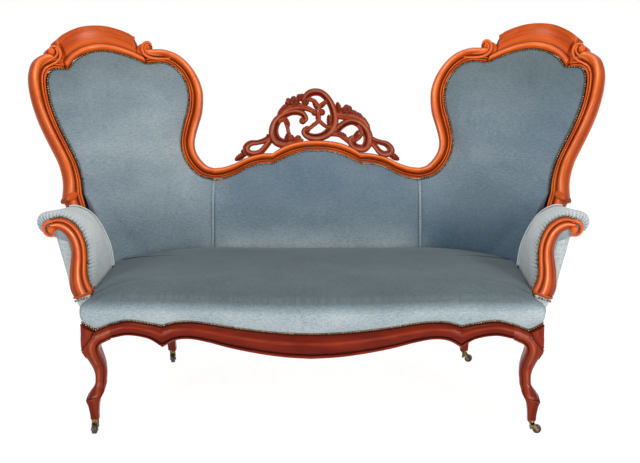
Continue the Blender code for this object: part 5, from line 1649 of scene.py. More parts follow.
@dataclass(frozen=True)
class BackPads:
    """Inside back pads, drawn in to their nails, and the flat covers on the outside of the back."""

    size: Layout
    frame: BackFrame
    stuffing: Stuffing
    rear: float = 0.004
    edge: float = 0.012
    full_low: float = 0.044
    full_high: float = 0.024
    roll: float = 0.085
    low: float = 0.030
    seam_dip: float = 0.004
    seam_wide: float = 0.012
    centre: tuple[float, float] = (-0.060, 0.290)
    arm_seam: Rows = mm((96, 250), (70, 170), (42, 90), (10, 30))
    cover_seam: Rows = mm((102.5, 250), (68, 170), (32.5, 80), (-12, 0), (-12, -50))
    cover_thick: float = 0.004
    cover_foot: float = -0.050
    grid: int = 65
    cover_grid: int = 33
    most: float = 0.006
    nap_left: Rows = ((0.05, 0.26), (0.18, 0.285), (0.55, 0.46), (0.90, 0.255))
    nap_middle: Rows = ((0.05, 0.58), (0.20, 0.27), (0.36, 0.215))
    nap_right: Rows = ((0.05, 0.12), (0.18, 0.15), (0.50, 0.30), (0.90, 0.185))

    def nearest_nail(self, x: Array, z: Array) -> tuple[Array, Array]:
        """Distance to the nailed edges, and how far along them the nearest place is.

        Args:
            x: Distance from the middle.
            z: Height.

        Returns:
            Distances to the edges, and distances along them.
        """
        end = self.frame.nailed_edge()
        lines = (end, self.frame.centre_stations()[:, 2:], end * (-1.0, 1.0))
        edge = np.vstack(lines)
        run = np.concatenate([travel(line) for line in lines])
        gap = (x.ravel()[:, None] - edge[:, 0]) ** 2 + (z.ravel()[:, None] - edge[:, 1]) ** 2
        best = gap.argmin(axis=1)
        return np.sqrt(gap[np.arange(len(best)), best]).reshape(x.shape), run[best].reshape(x.shape)

    def front(self, x: Array, z: Array) -> Array:
        """Height of the pads out of the back: a crown that rolls down to the nails and the seams.

        Args:
            x: Distance from the middle.
            z: Height.

        Returns:
            The heights.
        """
        size = self.size
        share = clamp((z - size.seat_z) / size.bend_rise)
        full = self.full_low + share * (self.full_high - self.full_low)
        seam = curve(size.from_corner(self.arm_seam), 4)
        to_seam = distance_to(seam, np.abs(x), z)
        held = 0.55 + 0.45 * rounded(to_seam / (2 * self.roll))
        dip = self.seam_dip * ridge(np.abs(x), size.seam_x, self.seam_wide)
        return self.edge + full * held * rounded(self.nearest_nail(x, z)[0] / self.roll) - dip

    def end_outline(self, lower: Rows) -> Array:
        """Outline of the right raised end: the nailed edge, the seam, the lower edge, then up the arm.

        Args:
            lower: Rows of its lower edge, from the arm down.

        Returns:
            Points of the outline.
        """
        size = self.size
        seam = size.seam_x + size.gap
        low_z = size.seat_z + lower[-1][1]
        side = ((seam, size.seat_z + self.frame.shoulder[-1][3] - size.gap), (seam, low_z))
        arm = curve(size.from_corner(lower), 6)[::-1]
        outline = np.vstack((self.frame.nailed_edge()[2:], side, arm))
        middle = size.from_corner((self.centre,))[0]
        return outline + 2.5 * size.gap * unit(middle - outline)

    def middle_outline(self, low: float) -> Array:
        """Outline of the middle of the back, below the centre rail.

        Args:
            low: Height of its lower edge over the rails.

        Returns:
            Points of the outline.
        """
        top = self.frame.centre_stations()[:, 2:] - (0.0, 2.5 * self.size.gap)
        top[0, 0] += self.size.gap
        top[-1, 0] -= self.size.gap
        foot = ((top[-1, 0], self.size.seat_z + low), (top[0, 0], self.size.seat_z + low))
        return np.vstack((top, foot))

    def pillow(self, outline: Array, middle: Array, grid: int, rear: float, flat: bool) -> tuple[Shell, Array]:
        """A closed pad on the back, from an outline shrunk to its middle.

        Args:
            outline: Its outline on the back.
            middle: A place that sees the whole outline.
            grid: Points along each side of its grid.
            rear: Height of its rear out of the back.
            flat: Whether it is a flat cover of even thickness.

        Returns:
            The skin, and whether each point is held.
        """
        size = self.size
        share, turn = disc(grid)
        spot = middle + share[..., None] * (around(outline, turn) - middle)
        x, z = spot[..., 0], spot[..., 1]
        front = np.full_like(x, rear + self.cover_thick) if flat else self.front(x, z)
        faces = [size.on_back(x, z, front), size.on_back(x, z, rear)]
        shell = Shell.pillow(faces[0], np.empty((0, 4 * (grid - 1), 3)), faces[1])
        gap, run = self.nearest_nail(x, z)
        tone = self.nap(x, z)
        dust = clamp((z - size.seat_z - 0.40) / 0.28)
        for key, value in (("nap", tone), ("warp", x), ("weft", z), ("edge", gap), ("edge_run", run), ("dust", dust)):
            shell.marks[key] = np.tile(value.ravel(), 2)
        held = np.concatenate(((share > 0.975).ravel(), np.ones(grid * grid, bool)))
        return shell, held

    def nap(self, x: Array, z: Array) -> Array:
        """Tone of the inside back from its pile and painted light: lighter on the left end, darker in the middle and
        low on the right, and darker towards the ends' outer edges.

        Args:
            x: Distance from the middle.
            z: Height.

        Returns:
            The tones.
        """
        rise = (z - self.size.seat_z) / self.size.bend_rise
        tables = (self.nap_left, self.nap_middle, self.nap_right)
        left, middle, right = (np.interp(rise, *np.transpose(rows)) for rows in tables)
        outer = clamp((np.abs(x) - 0.38) / 0.40)
        ends = np.where(x < 0.0, left, right) * (1.12 - 0.30 * outer * outer)
        return middle + eased((np.abs(x) - 0.22) / 0.20) * (ends - middle)

    def outlines(self, start: str, seam: Rows, low: float) -> list[tuple[str, Array, Array]]:
        """Names, outlines and middles of the back's left, right and centre pieces.

        Args:
            start: Start of their names.
            seam: Rows of the ends' lower edge.
            low: Height of the centre's lower edge over the rails.

        Returns:
            Rows of name, outline and middle.
        """
        size = self.size
        outline, middle = self.end_outline(seam), size.from_corner((self.centre,))[0]
        rows = [(start + side.label, outline * (side.value, 1.0), middle * (side.value, 1.0)) for side in Side]
        centre = np.array((0.0, size.seat_z + 0.5 * (self.low + self.frame.hump[0][2])))
        return rows + [(start + "centre", self.middle_outline(low), centre)]

    def build(self, shop: Workshop, coat: Coat) -> None:
        """Makes three pads and three outside covers; a cover's flat size follows from its own skin.

        Args:
            shop: Where pieces are made.
            coat: Its finish.
        """
        for name, outline, middle in self.outlines("back_pad_", self.arm_seam, self.low):
            shell, held = self.pillow(outline, middle, self.grid, self.rear, False)
            pad = shop.add("velvet_" + name, shell, coat, [name])
            self.stuffing.swell(pad, held, self.most)
            soften(pad)
        count = self.cover_grid
        for name, outline, middle in self.outlines("outside_back_cover_", self.cover_seam, self.cover_foot):
            shell, _ = self.pillow(outline, middle, count, -self.size.frame_rear, True)
            cover = shop.add("velvet_" + name, shell, coat, [name])
            turned = np.roll(outline, -1, axis=0)
            seen = 0.5 * abs(float((outline[:, 0] * turned[:, 1] - outline[:, 1] * turned[:, 0]).sum()))


@dataclass(frozen=True)
class Arms:
    """Scrolled facings, rolled arm pads, outside covers and the sleeves under the facings."""

    size: Layout
    stuffing: Stuffing
    facing_rows: Rows = mm(
        (104, 271, 95, 247), (80, 279, 77, 243), (55, 275, 64, 233), (32, 259, 54, 218), (16, 234, 48, 198),
        (7, 205, 47, 180), (5, 170, 50, 158), (7, 135, 55, 128), (6, 110, 57, 100), (-1, 88, 56, 75),
        (-8, 73, 48, 54),
    )
    foot_rows: Rows = mm((-8, 73, 48, 54), (3, 50, 36, 42), (3, 4.5, 12.5, 4.5))
    front: float = 0.048
    thick: float = 0.028
    boss: tuple[float, float] = (0.099, 0.247)
    boss_half: float = 0.0112
    hook_half: float = 0.0192
    roll_rows: Rows = mm(
        (122, 229, 122, 345, 0), (140, 240, 140, 345, 0), (148, 262, 148, 347, 0), (138, 283, 139, 354, 0),
        (115, 292, 126, 360, 0), (80, 292, 104, 367, 1), (47, 282, 81, 386, 9), (20, 260, 62, 397, 13),
        (2, 225, 48, 392, 4), (-7, 180, 27, 378, 0), (-8, 130, 7, 358, 0), (-5, 70, -5, 334, 0), (-3, 18, -5, 316, 0),
    )
    hollow_rows: Rows = mm(
        (22, 18, 22, 316, 0), (32, 110, 30, 346, 0), (46, 200, 55, 360, 4), (62, 262.5, 79, 361, 10),
        (118, 262.5, 118, 345, 0),
    )
    top: float = 0.292
    fall: float = 0.047
    side_rows: Rows = mm((96, 223), (83, 165), (64, 93), (53, 43), (20.5, 0), (20.5, -50))
    cover_thick: float = 0.004
    cover_nap: float = 0.76
    cover_flat: tuple[float, float] = (0.37, 0.30)
    cover_area: float = 0.102
    post_line: Rows = mm((0, 20.5, 395), (90, 68.7, 422), (270, 145.2, 414))
    sleeve_deep: tuple[float, float] = (0.0325, 0.0760)
    front_roll: float = 0.036
    gather_pitch: float = 0.011
    gather: float = 0.0034
    most: float = 0.004

    def reeds(self) -> Array:
        """Section of a facing from its nailed edge: a narrow reed, a groove, a broad reed and a low flank in painted
        shade.

        Returns:
            Rows of the section.
        """
        edge = ((0.0, 0.0, 0.8), (0.015, 0.0052, 0.55), (0.07, 0.0088, 0.3), (0.15, 0.0100, 0.25), (0.22, 0.0090, 0.5),
                (0.27, 0.0066, 0.95))
        main = ((0.27, 0.0066, 0.95), (0.295, 0.0060, 1.0), (0.33, 0.0082, 0.7), (0.40, 0.0114, 0.3),
                (0.49, 0.0128, 0.0), (0.58, 0.0120, 0.1), (0.67, 0.0092, 0.4), (0.73, 0.0060, 0.7))
        flank = ((0.73, 0.0060, 0.7), (0.77, 0.0044, 0.85), (0.83, 0.0034, 0.8), (0.90, 0.0032, 0.75),
                 (0.96, 0.0030, 0.75), (1.0, 0.0005, 0.8))
        back = ((1.0, 0.0005, 0.6), (1.0, -self.thick, 0.6), (0.0, -self.thick, 0.6))
        return np.vstack((chain((edge, main, flank), 4), np.array(back)[1:]))

    def facing(self) -> Shell:
        """Right facing: reeds carried along its scroll, a hook round the boss, a collar and a stub foot.

        Returns:
            The closed skin.
        """
        size, section = self.size, self.reeds()
        shells = []
        for rows, steps, relief in ((self.facing_rows, 9, 1.0), (self.foot_rows, 4, 0.25)):
            stations = curve(size.from_corner(rows), steps)
            spot = stations[:, None, :2] + section[None, :, :1] * (stations[:, 2:] - stations[:, :2])[:, None]
            out = np.where(section[:, 1] > 0.0, section[:, 1] * relief, section[:, 1])
            rings = xyz(spot[..., 0], self.front - out, spot[..., 1])
            wide = np.linalg.norm(stations[:, :2] - stations[:, 2:], axis=1)[:, None]
            # Painted highlight on the broad reed and the narrow reed.
            worn = relief * (0.85 * ridge(section[:, 0], 0.47, 0.042) + 0.30 * ridge(section[:, 0], 0.13, 0.03))
            shells.append(Shell.loft(rings, run=travel(stations[:, :2])[:, None], cross=section[None, :, 0] * wide,
                                     hollow=section[None, :, 2], shine=(worn * (section[:, 1] > 0.0))[None, :]))
        (x, z), = size.from_corner((self.boss,))
        angle = np.radians(np.linspace(105.0, -125.0, 40))
        reach = self.hook_half + 0.0030 * np.cos(0.5 * (angle - angle[0]))
        path = np.column_stack((x + reach * np.cos(angle), np.full(40, self.front - 0.0035), z + reach * np.sin(angle)))
        half = np.linspace(0.0056, 0.0030, 40)
        shells.append(tube(path, half, 12, cross=0.0, hollow=0.0))
        # A copy of the hook set behind it, in painted shade.
        shells.append(tube(path + (0.0, 0.014, 0.0), half * 0.95, 12, cross=0.0, hollow=0.7))
        axis = np.array((0.0, -1.0, 0.0))
        shells.append(dome(np.array((x, self.front - 0.002, z)), axis, self.boss_half, 0.0125, 24, 8, 1.8,
                           run=x, cross=z, hollow=0.05))
        # A flat disc behind the boss, fully dark: painted shade round it.
        shells.append(dome(np.array((x, self.front + 0.008, z)), axis, 0.0195, 0.003, 24, 4, 0.8,
                           run=x, cross=z, hollow=1.0))
        a, b = np.array(size.from_corner(self.facing_rows[-1:]))[0].reshape(2, 2)
        share = np.linspace(0.01, 0.98, 24)[:, None]
        line = a + share * (b - a)
        bow = 0.003 * np.sin(math.pi * clamp(share))
        path = np.column_stack((line[:, 0], np.full(24, self.front - 0.006) - bow[:, 0], line[:, 1] - 0.004))
        half = 0.0047 * (0.45 + 0.55 * np.sqrt(np.sin(math.pi * share[:, 0])))
        # The collar, in part painted shade, and a darker copy set behind it, also painted shade.
        shells.append(tube(path, half, 12, cross=0.0, hollow=0.45))
        shells.append(tube(path + (0.0, 0.010, 0.0), half, 12, cross=0.0, hollow=0.6))
        return joined(shells)

    def facing_outline(self) -> Array:
        """Edge of the facing that the arm's fabric is nailed to: round the hook, over the top and down.

        Returns:
            Points of the outline.
        """
        (x, z), = self.size.from_corner((self.boss,))
        angle = np.radians(np.linspace(-60.0, 62.0, 16))
        hook = np.column_stack((x + 0.0235 * np.cos(angle), z + 0.0235 * np.sin(angle)))
        edge = curve(self.size.from_corner(self.facing_rows), 8)[:, :2]
        foot = self.size.from_corner(((0.0, 0.050), (0.003, 0.018)))
        return np.vstack((hook, edge, foot))

    def drop(self, rise: Array, y: Array, rear: Array, more: Any = 0.0) -> Array:
        """How much lower the roll is at a depth y, on its way back to the rear end.

        Args:
            rise: Height over the rails.
            y: Depth.
            rear: Depth of the rear end.
            more: Extra fall at the rear.

        Returns:
            The falls.
        """
        start = self.front + self.thick
        share = clamp((y - start) / (rear - start))
        return share * (self.fall * clamp(rise / self.top) ** 2 + more * share)

    def pad(self) -> tuple[Shell, Array]:
        """Right arm pad: a roll drawn in to the facing with gathers, falling back to the seam.

        Returns:
            The skin, and whether each point is held.
        """
        size = self.size
        outer, inner = curve(self.roll_rows, 14), chain([self.hollow_rows], 6)
        rows = np.vstack((outer, inner))
        outline = size.from_corner(rows[:, :2])
        edge = self.facing_outline()
        gap = ((outline[:, None] - edge[None]) ** 2).sum(axis=-1)
        foot = edge[gap.argmin(axis=1)]
        hem = foot + 0.0012 * unit(outline - foot)
        count = len(outer)
        hem[count:] = outline[count:]
        turn = np.linspace(0.0, 0.5 * math.pi, 11)[:, None]
        ease = clamp(np.arange(len(rows)) / 6.0) * clamp((count - np.arange(len(rows))) / 6.0)
        run = travel(outline)
        fold = np.abs(np.sin(math.pi * run / self.gather_pitch)) * ease * (np.arange(len(rows)) < count)
        start = self.front + 0.0035
        near = hem + np.sin(turn)[..., None] * (outline - hem)
        inward = unit(hem - outline)
        depth = self.gather * np.sin(2.0 * turn) ** 2 * (1.0 - 0.6 * np.sin(turn)) + 0.0008 * np.cos(turn)
        near = near + (depth * (1.0 - fold) * ease)[..., None] * inward
        near_y = start + self.front_roll * (1.0 - np.cos(turn)) + np.zeros(len(rows))
        near_y[:, count:] = np.maximum(near_y[:, count:], self.front + self.thick + size.gap)
        share = np.linspace(0.0, 1.0, 22)[1:, None]
        mid = start + self.front_roll
        x = outline[:, 0] + share**2 * (rows[:, 2] - rows[:, 0])
        y = mid + share * (rows[:, 3] - mid)
        rings = np.concatenate((xyz(near[..., 0], near_y, near[..., 1]), xyz(x, y, outline[:, 1])))
        along = np.concatenate((near_y, y))
        rings[..., 2] -= self.drop(rings[..., 2] - size.seat_z, along, rows[:, 3], rows[:, 4])
        # Painted light and shade: lightest on top, darker low on the inside, and painted shade in the gathers beside
        # the nails.
        tone = 1.0 - 0.13 * clamp((0.56 - rings[..., 2]) / 0.12)
        near_nails = np.exp(-np.abs(along - start) / 0.014)
        tone = tone - 0.30 * near_nails - 0.85 * near_nails * (1.0 - fold) ** 1.5
        marks = {"nap": np.clip(tone, 0.05, 1.0), "warp": along, "weft": run[None, :], "edge": 1.0, "edge_run": 0.0}
        ring_held = np.zeros(rings.shape[:2], bool)
        ring_held[:12] = True
        ring_held[-2:] = True
        ring_held[:, count:] = True
        ring_held[:, :3] = True
        return Shell.loft(rings, **marks), ring_held.ravel()

    def cover(self) -> Shell:
        """Right outside cover: a sheet from the facing's flank round to the post, following the concave side.

        Returns:
            The closed skin.
        """
        size = self.size
        rows = curve(size.from_corner(self.side_rows), 6)
        rise = rows[:, 1] - size.seat_z
        flank = curve(size.from_corner(self.facing_rows + self.foot_rows[1:]), 6)[:, 2:]
        order = flank[:, 1].argsort()
        near_x = np.interp(rows[:, 1], flank[order, 1], flank[order, 0]) + 0.0008
        near_x = np.minimum(near_x, rows[:, 0] - 0.001)
        start = self.front + self.thick + size.gap
        sunk = rise - self.drop(rise, np.ones(1), np.ones(1))
        high, wide, deep = np.transpose(self.post_line)
        post_x, post_y = size.seat_half + np.interp(sunk, high, wide), np.interp(sunk, high, deep)
        turn = np.linspace(0.0, 0.5 * math.pi, 8)[:-1, None]
        front = xyz(near_x + np.sin(turn) * (rows[:, 0] - near_x),
                      start - 0.012 + 0.030 * (1.0 - np.cos(turn)), rows[:, 1])
        share = np.linspace(0.0, 1.0, 24)[:, None]
        x = rows[:, 0] + eased(share) * (post_x - rows[:, 0])
        y = start + 0.018 + share * (post_y - start - 0.018)
        inner = np.concatenate((front, xyz(x, y, rows[:, 1] + share * (sunk - rise))))
        outer = inner + (self.cover_thick, 0.0, 0.0)
        rings = np.concatenate((inner, outer[:, ::-1]), axis=1)
        return Shell.loft(rings, nap=self.cover_nap, warp=rings[..., 1], weft=rings[..., 2], edge=1.0, edge_run=0.0)

    def sleeve_skin(self) -> Shell:
        """Fabric under the right facing's foot, wrapped round its stub down to the leg's head.

        Returns:
            The closed skin.
        """
        size = self.size
        share = np.linspace(0.0, 1.0, 10)[:, None]
        turns = circle(32)
        across, deep = blunt(np.cos(turns), 0.4), blunt(np.sin(turns), 0.4)
        inner = size.seat_half - 0.004 * share
        outer = size.seat_half + 0.015 + share * 0.027 + 0.002 * np.sin(math.pi * share)
        x = 0.5 * (inner + outer) + 0.5 * (outer - inner) * across
        near, far = self.sleeve_deep
        y = 0.5 * (near + far) + 0.5 * (far - near) * deep
        z = size.seat_z + 0.002 + share * (0.064 - 0.019 * (x - inner) / (outer - inner))
        rings = xyz(x, y, z)
        return Shell.loft(rings, nap=self.cover_nap, warp=rings[..., 0], weft=rings[..., 2], edge=1.0, edge_run=0.0)

    def build(self, shop: Workshop, wood: Coat, velvet: Coat) -> None:
        """Makes both arms.

        Args:
            shop: Where pieces are made.
            wood: Finish of the show wood.
            velvet: Finish of the fabric.
        """
        shell, held = self.pad()
        for side in Side:
            label = side.label
            shop.add("polished_arm_facing_" + label, self.facing().on(side), wood, ["arm_facing_" + label])
            pad = shop.add("velvet_arm_pad_" + label, shell.on(side), velvet, ["arm_pad_" + label], sharp=70.0)
            self.stuffing.swell(pad, held, self.most)
            soften(pad)
            cover = self.cover()
            sheet = shop.add("velvet_outside_arm_" + label, cover.on(side), velvet, ["outside_arm_cover_" + label])
            sleeve = shop.add("velvet_sleeve_" + label, self.sleeve_skin().on(side), velvet)
            soften(sleeve)


@dataclass(frozen=True)
class Seat:
    """Sprung seat: crowned top, rolled front and a lower edge that follows the front rail."""

    size: Layout
    rail: SeatFrame
    pads: BackPads
    stuffing: Stuffing
    top: float = 0.080
    crown: float = 0.020
    roll: float = 0.20
    bulge: float = 0.013
    side_in: float = 0.010
    base: float = 0.004
    ear_fall: float = 0.034
    ear_fade: int = 12
    grid: int = 73
    most: float = 0.010
    profile: Rows = (
        (0.0, 0.0), (0.10, 0.42), (0.28, 0.86), (0.50, 1.0), (0.70, 0.72), (0.86, 0.05), (0.955, -0.85),
        (1.0, -2.0),
    )

    def plan(self) -> Array:
        """Right half of the plan from the front's middle to the rear's: x, y, lower z, share of front roll.

        Returns:
            Rows of the plan.
        """
        size, rail = self.size, self.rail
        x = np.linspace(0.0, 0.552, 56)
        front = np.column_stack((x, rail.face(x), rail.nail_line(x) + size.gap, np.ones(56)))
        x = np.linspace(0.556, size.seat_half + 0.006, 10)
        head = np.column_stack((x, np.full(10, rail.face_y), rail.nail_line(x) + 2 * size.gap, np.ones(10)))
        base = size.seat_z + self.base
        half = size.seat_half
        ear = curve(((half + 0.010, -0.0215, base - 0.004, 1.0), (half + 0.0155, -0.014, base, 0.9),
                     (half + 0.018, 0.000, base, 0.7), (half + 0.017, 0.014, base, 0.35),
                     (half + 0.008, 0.026, base, 0.1), (half - self.side_in, 0.034, base, 0.0)), 4)
        z = np.full(40, size.seat_z + self.pads.low)
        x = np.linspace(half - self.side_in, 0.0, 40)
        rear = size.on_back(x, z, self.pads.front(x, z) + 0.0015)
        y = np.linspace(0.034, rear[0, 1], 16)[1:-1]
        side = np.column_stack((np.full(14, half - self.side_in), y, np.full(14, base), np.zeros(14)))
        back = np.column_stack((rear[:, :2], np.full(40, base), np.full(40, -1.0)))
        return np.vstack((front, head, ear, side, back))

    def skin(self) -> tuple[Shell, Array]:
        """The seat as a grid for its top, walls down to the rails and a grid for its base.

        Returns:
            The skin, and whether each point is held.
        """
        half = self.plan()
        outline = np.vstack((half, half[-2:0:-1] * (-1.0, 1.0, 1.0, 1.0)))
        share, turn = disc(self.grid)
        border = around(outline, turn.ravel()[rim(self.grid)])
        plan, low, roll = border[:, :2], border[:, 2], border[:, 3]
        middle = np.array((0.0, 0.5 * (half[0, 1] + half[-1, 1])))
        outward = unit(plan - middle)
        outward[roll > 0.5, 0] *= 0.25
        outward[roll < -0.5, 0] *= 0.3
        joint = self.rail.joint_in
        ear = clamp((np.abs(plan[:, 0]) - self.size.seat_half + joint) / joint)
        fall = self.ear_fall * np.where(roll > 0.02, ear, 0.0) ** 2
        flat = self.size.seat_z + self.top
        top = flat - fall
        walls = []
        for rise, swell in curve(self.profile, 3)[:0:-1]:
            drawn = min(swell, 0.0) * np.where(roll < -0.5, 0.35, 1.0)
            reach = self.bulge * (max(swell, 0.0) * clamp(roll) + drawn)
            walls.append(np.column_stack((plan + outward * reach[:, None], low + rise * (top - low))))
        inset = walls[0][:, :2]
        walls = walls[1:] + [np.column_stack((plan, low))]
        share, turn = share.ravel(), turn.ravel()
        edge = by_turn(inset, turn)
        spot = middle + share[:, None] * (edge - middle)
        away = (1.0 - share) * np.linalg.norm(edge - middle, axis=1)
        sunk = by_turn(fall[:, None], turn)[:, 0] * share**self.ear_fade
        front = np.column_stack((spot, flat + self.crown * rounded(away / self.roll) - sunk))
        floor = self.size.seat_z + self.base
        ledge = plan.copy()
        on_wood = roll > 0.6
        ledge[on_wood, 1] = np.maximum(ledge[on_wood, 1] + self.rail.thick + 0.004, self.rail.leg_back - 0.002)
        walls += [np.column_stack((ledge, low)), np.column_stack((ledge, np.full(len(low), floor)))]
        inner = middle + 0.97 * share[:, None] * (by_turn(ledge, turn) - middle)
        rear = np.column_stack((inner, np.full(len(inner), floor)))
        count = self.grid
        shell = Shell.pillow(front.reshape(count, count, 3), np.array(walls), rear.reshape(count, count, 3))
        return shell, self.held(len(shell.points), len(walls))

    def held(self, count: int, walls: int) -> Array:
        """Whether each point stays: the base, the lowest of the front wall and nothing of the top.

        Args:
            count: Number of points.
            walls: Number of wall rings.

        Returns:
            A flag for each point.
        """
        held = np.zeros(count, bool)
        first = self.grid * self.grid
        border = 4 * (self.grid - 1)
        held[first + (walls - 5) * border:] = True
        return held

    def marks(self, shell: Shell) -> dict[str, Array]:
        """Tone by height and place: dark on top, and pale where the front turns down, partly its pile and partly
        painted light; weft along X.

        Args:
            shell: The seat's skin.

        Returns:
            Values by mark.
        """
        x, y, z = shell.points.T
        face = clamp((self.rail.face(x) + 0.026 - y) / 0.022) * (z < self.size.seat_z + 0.074)
        down = clamp((self.size.seat_z + 0.062 - z) / 0.036)
        # Painted light, with the pile: the front face is paler where it turns down.
        pale = clamp(down * 1.2) * clamp(face * 2.0)
        tone = 0.125 + 0.41 * pale + 0.03 * ridge(y, 0.10, 0.14)
        return {"nap": tone, "warp": x, "weft": y - z, "edge": np.full(len(x), 1.0), "edge_run": x, "dust": 1.0 - pale}

    def build(self, shop: Workshop, coat: Coat) -> None:
        """Makes the seat.

        Args:
            shop: Where pieces are made.
            coat: Its finish.
        """
        shell, held = self.skin()
        shell.marks = self.marks(shell)
        pad = shop.add("velvet_seat", shell, coat, ["seat_pad"], sharp=80.0)
        self.stuffing.swell(pad, held, self.most)
        soften(pad)


@dataclass(frozen=True)
class Trim:
    """Close nailing along every edge that meets show wood, and the flat welts over the seams."""

    size: Layout
    frame: BackFrame
    rail: SeatFrame
    arms: Arms
    pads: BackPads
    sides: int = 8
    welt_half: float = 0.0042
    welt_high: float = 0.0022
    cord_half: float = 0.0027
    cord_step: float = 0.0033
    cord_out: float = 0.0020
    nail_in: float = 0.0034

    def nails(self, places: Array, axes: Array) -> Shell:
        """Round-headed nails, as one array of rings.

        Args:
            places: Middle of each head's underside.
            axes: Direction that each faces.

        Returns:
            The skins of all the heads.
        """
        axes = unit(axes)
        across = unit(np.cross(axes, (0.12, 0.23, 0.96)))
        over = np.cross(axes, across)
        turns = circle(self.sides)
        half = self.size.nail_half
        wide = half * np.array((0.80, 1.0, 0.82, 0.42))
        lift = half * np.array((-0.5, 0.05, 0.52, 0.80))
        round_off = np.cos(turns)[:, None] * across[:, None, None] + np.sin(turns)[:, None] * over[:, None, None]
        rings = places[:, None, None] + lift[None, :, None, None] * axes[:, None, None]
        rings = rings + wide[None, :, None, None] * round_off
        count, levels, sides = rings.shape[:3]
        one = Shell.loft(rings[0])
        base = np.arange(count)[:, None] * (levels * sides)
        quads = np.array([face for face in one.faces if len(face) == 4])
        caps = np.array([face for face in one.faces if len(face) == sides and sides != 4])
        faces = (base[..., None] + quads).reshape(-1, 4).tolist() + (base[..., None] + caps).reshape(-1, sides).tolist()
        return Shell(rings.reshape(-1, 3), faces)

    def spaced(self, line: Array) -> Array:
        """Places along a line, a nail's pitch apart."""
        long = travel(line)[-1]
        return at_distance(line, np.linspace(0.0, long, int(long / self.size.nail_pitch) + 1))

    def back_rows(self) -> tuple[Array, Array]:
        """Nails along the inner edge of the back's frame.

        Returns:
            Places of the nails, and where they face.
        """
        end = self.frame.nailed_edge()
        middle = np.array((self.size.seat_half - 0.06, self.size.seat_z + 0.32))
        inset = end + self.nail_in * unit(middle - end)
        right = self.spaced(inset[8:])
        low = self.frame.centre_stations()[:, 2:] - (0.0, self.nail_in)
        spots = np.vstack((right, right * (-1.0, 1.0), self.spaced(low)))
        out = np.full(len(spots), self.pads.edge + 0.0022)
        return self.size.on_back(spots[:, 0], spots[:, 1], out), self.size.facing(spots[:, 0], spots[:, 1])

    def seat_rows(self) -> tuple[Array, Array]:
        """Nails along the upper edge of the front rail and the leg heads.

        Returns:
            Places of the nails, and where they face.
        """
        x = np.concatenate((np.linspace(0.0, 0.595, 300), np.linspace(0.597, self.size.seat_half + 0.012, 20)))
        y = self.rail.face(x) - 0.0030 + clamp((x - 0.615) / 0.02) ** 2 * 0.008
        right = np.column_stack((x, y, self.rail.nail_line(x) + 0.0036))
        line = np.vstack((right[:0:-1] * (-1.0, 1.0, 1.0), right))
        places = self.spaced(line)
        axes = np.column_stack((0.35 * np.sign(places[:, 0]) * (np.abs(places[:, 0]) > 0.62), -np.ones(len(places)),
                                np.full(len(places), 0.25)))
        return places, axes

    def arm_rows(self) -> tuple[Array, Array]:
        """Nails round the facings' edges and under their feet.

        Returns:
            Places of the nails, and where they face.
        """
        edge = self.arms.facing_outline()[12:-2]
        middle = self.size.from_corner(((0.045, 0.17),))[0]
        line = edge + 0.0026 * unit(edge - middle)
        places = self.spaced(np.column_stack((line[:, 0], np.full(len(line), self.arms.front + 0.0020), line[:, 1])))
        a, b = np.array(self.size.from_corner(self.arms.facing_rows[-1:]))[0].reshape(2, 2)
        foot = a + np.linspace(0.30, 0.85, 5)[:, None] * (b - a) - (0.0, 0.0125)
        foot = np.column_stack((foot[:, 0], np.full(5, self.arms.front - 0.0168), foot[:, 1]))
        right = np.vstack((places, foot))
        places = np.vstack((right, right * (-1.0, 1.0, 1.0)))
        return places, np.tile((0.0, -1.0, 0.1), (len(places), 1))

    def welt(self, path: Array, axes: Array, half: float, high: float) -> Shell:
        """A flat covered cord along a path: a low oval section that faces along the axes.

        Args:
            path: Points along it.
            axes: Direction that it faces at each point.
            half: Half its width.
            high: Half its height.

        Returns:
            The closed skin.
        """
        run = unit(np.gradient(path, axis=0))
        over = unit(axes - (axes * run).sum(axis=1, keepdims=True) * run)
        across = np.cross(run, over)
        turns = circle(14)
        side = blunt(np.cos(turns), 0.7)
        rings = path[:, None] + half * side[None, :, None] * across[:, None]
        rings = rings + high * np.sin(turns)[None, :, None] * over[:, None]
        long = travel(path)[:, None]
        return Shell.loft(rings, nap=0.42, warp=half * side[None, :], weft=long, edge=1.0, edge_run=0.0)

    def seam_welt(self) -> Shell:
        """Welt over the right seam of the back, from the seat to the frame.

        Returns:
            The closed skin.
        """
        top = self.size.seat_z + self.frame.shoulder[-1][3] - 0.003
        z = np.linspace(self.size.seat_z + 0.045, top, 60)
        x = np.full(60, self.size.seam_x)
        path = self.size.on_back(x, z, self.pads.front(x, z) + 0.0005)
        return self.welt(path, self.size.facing(x, z), self.welt_half, self.welt_high)

    def arm_welt(self) -> Shell:
        """Two cords side by side down the seam between the right arm and the back.

        Returns:
            The closed skin.
        """
        rows = curve(self.arms.roll_rows[4:12], 10)
        rise = rows[:, 1] - self.arms.drop(rows[:, 1], rows[:, 3], rows[:, 3], rows[:, 4])
        path = np.column_stack((self.size.seat_half + rows[:, 2], rows[:, 3], self.size.seat_z + rise))
        inward = unit(np.array((-0.62, -0.62, 0.30)))
        across = unit(np.cross(unit(np.gradient(path, axis=0)), inward))
        path = path + self.cord_out * inward
        return joined([tube(path + step * across, self.cord_half, 10, nap=0.95, warp=0.0, weft=0.0, edge=1.0,
                            edge_run=0.0) for step in (-self.cord_step, self.cord_step)])

    def build(self, shop: Workshop, brass: Coat, velvet: Coat) -> None:
        """Makes nails and welts.

        Args:
            shop: Where pieces are made.
            brass: Finish of the metal.
            velvet: Finish of the fabric.
        """
        for name, (places, axes) in (("back", self.back_rows()), ("seat", self.seat_rows()), ("arm", self.arm_rows())):
            shop.add("nails_" + name, self.nails(places, axes), brass, sharp=60.0)
        for side in Side:
            shop.add("welt_back_" + side.label, self.seam_welt().on(side), velvet)
            shop.add("welt_arm_" + side.label, self.arm_welt().on(side), velvet)


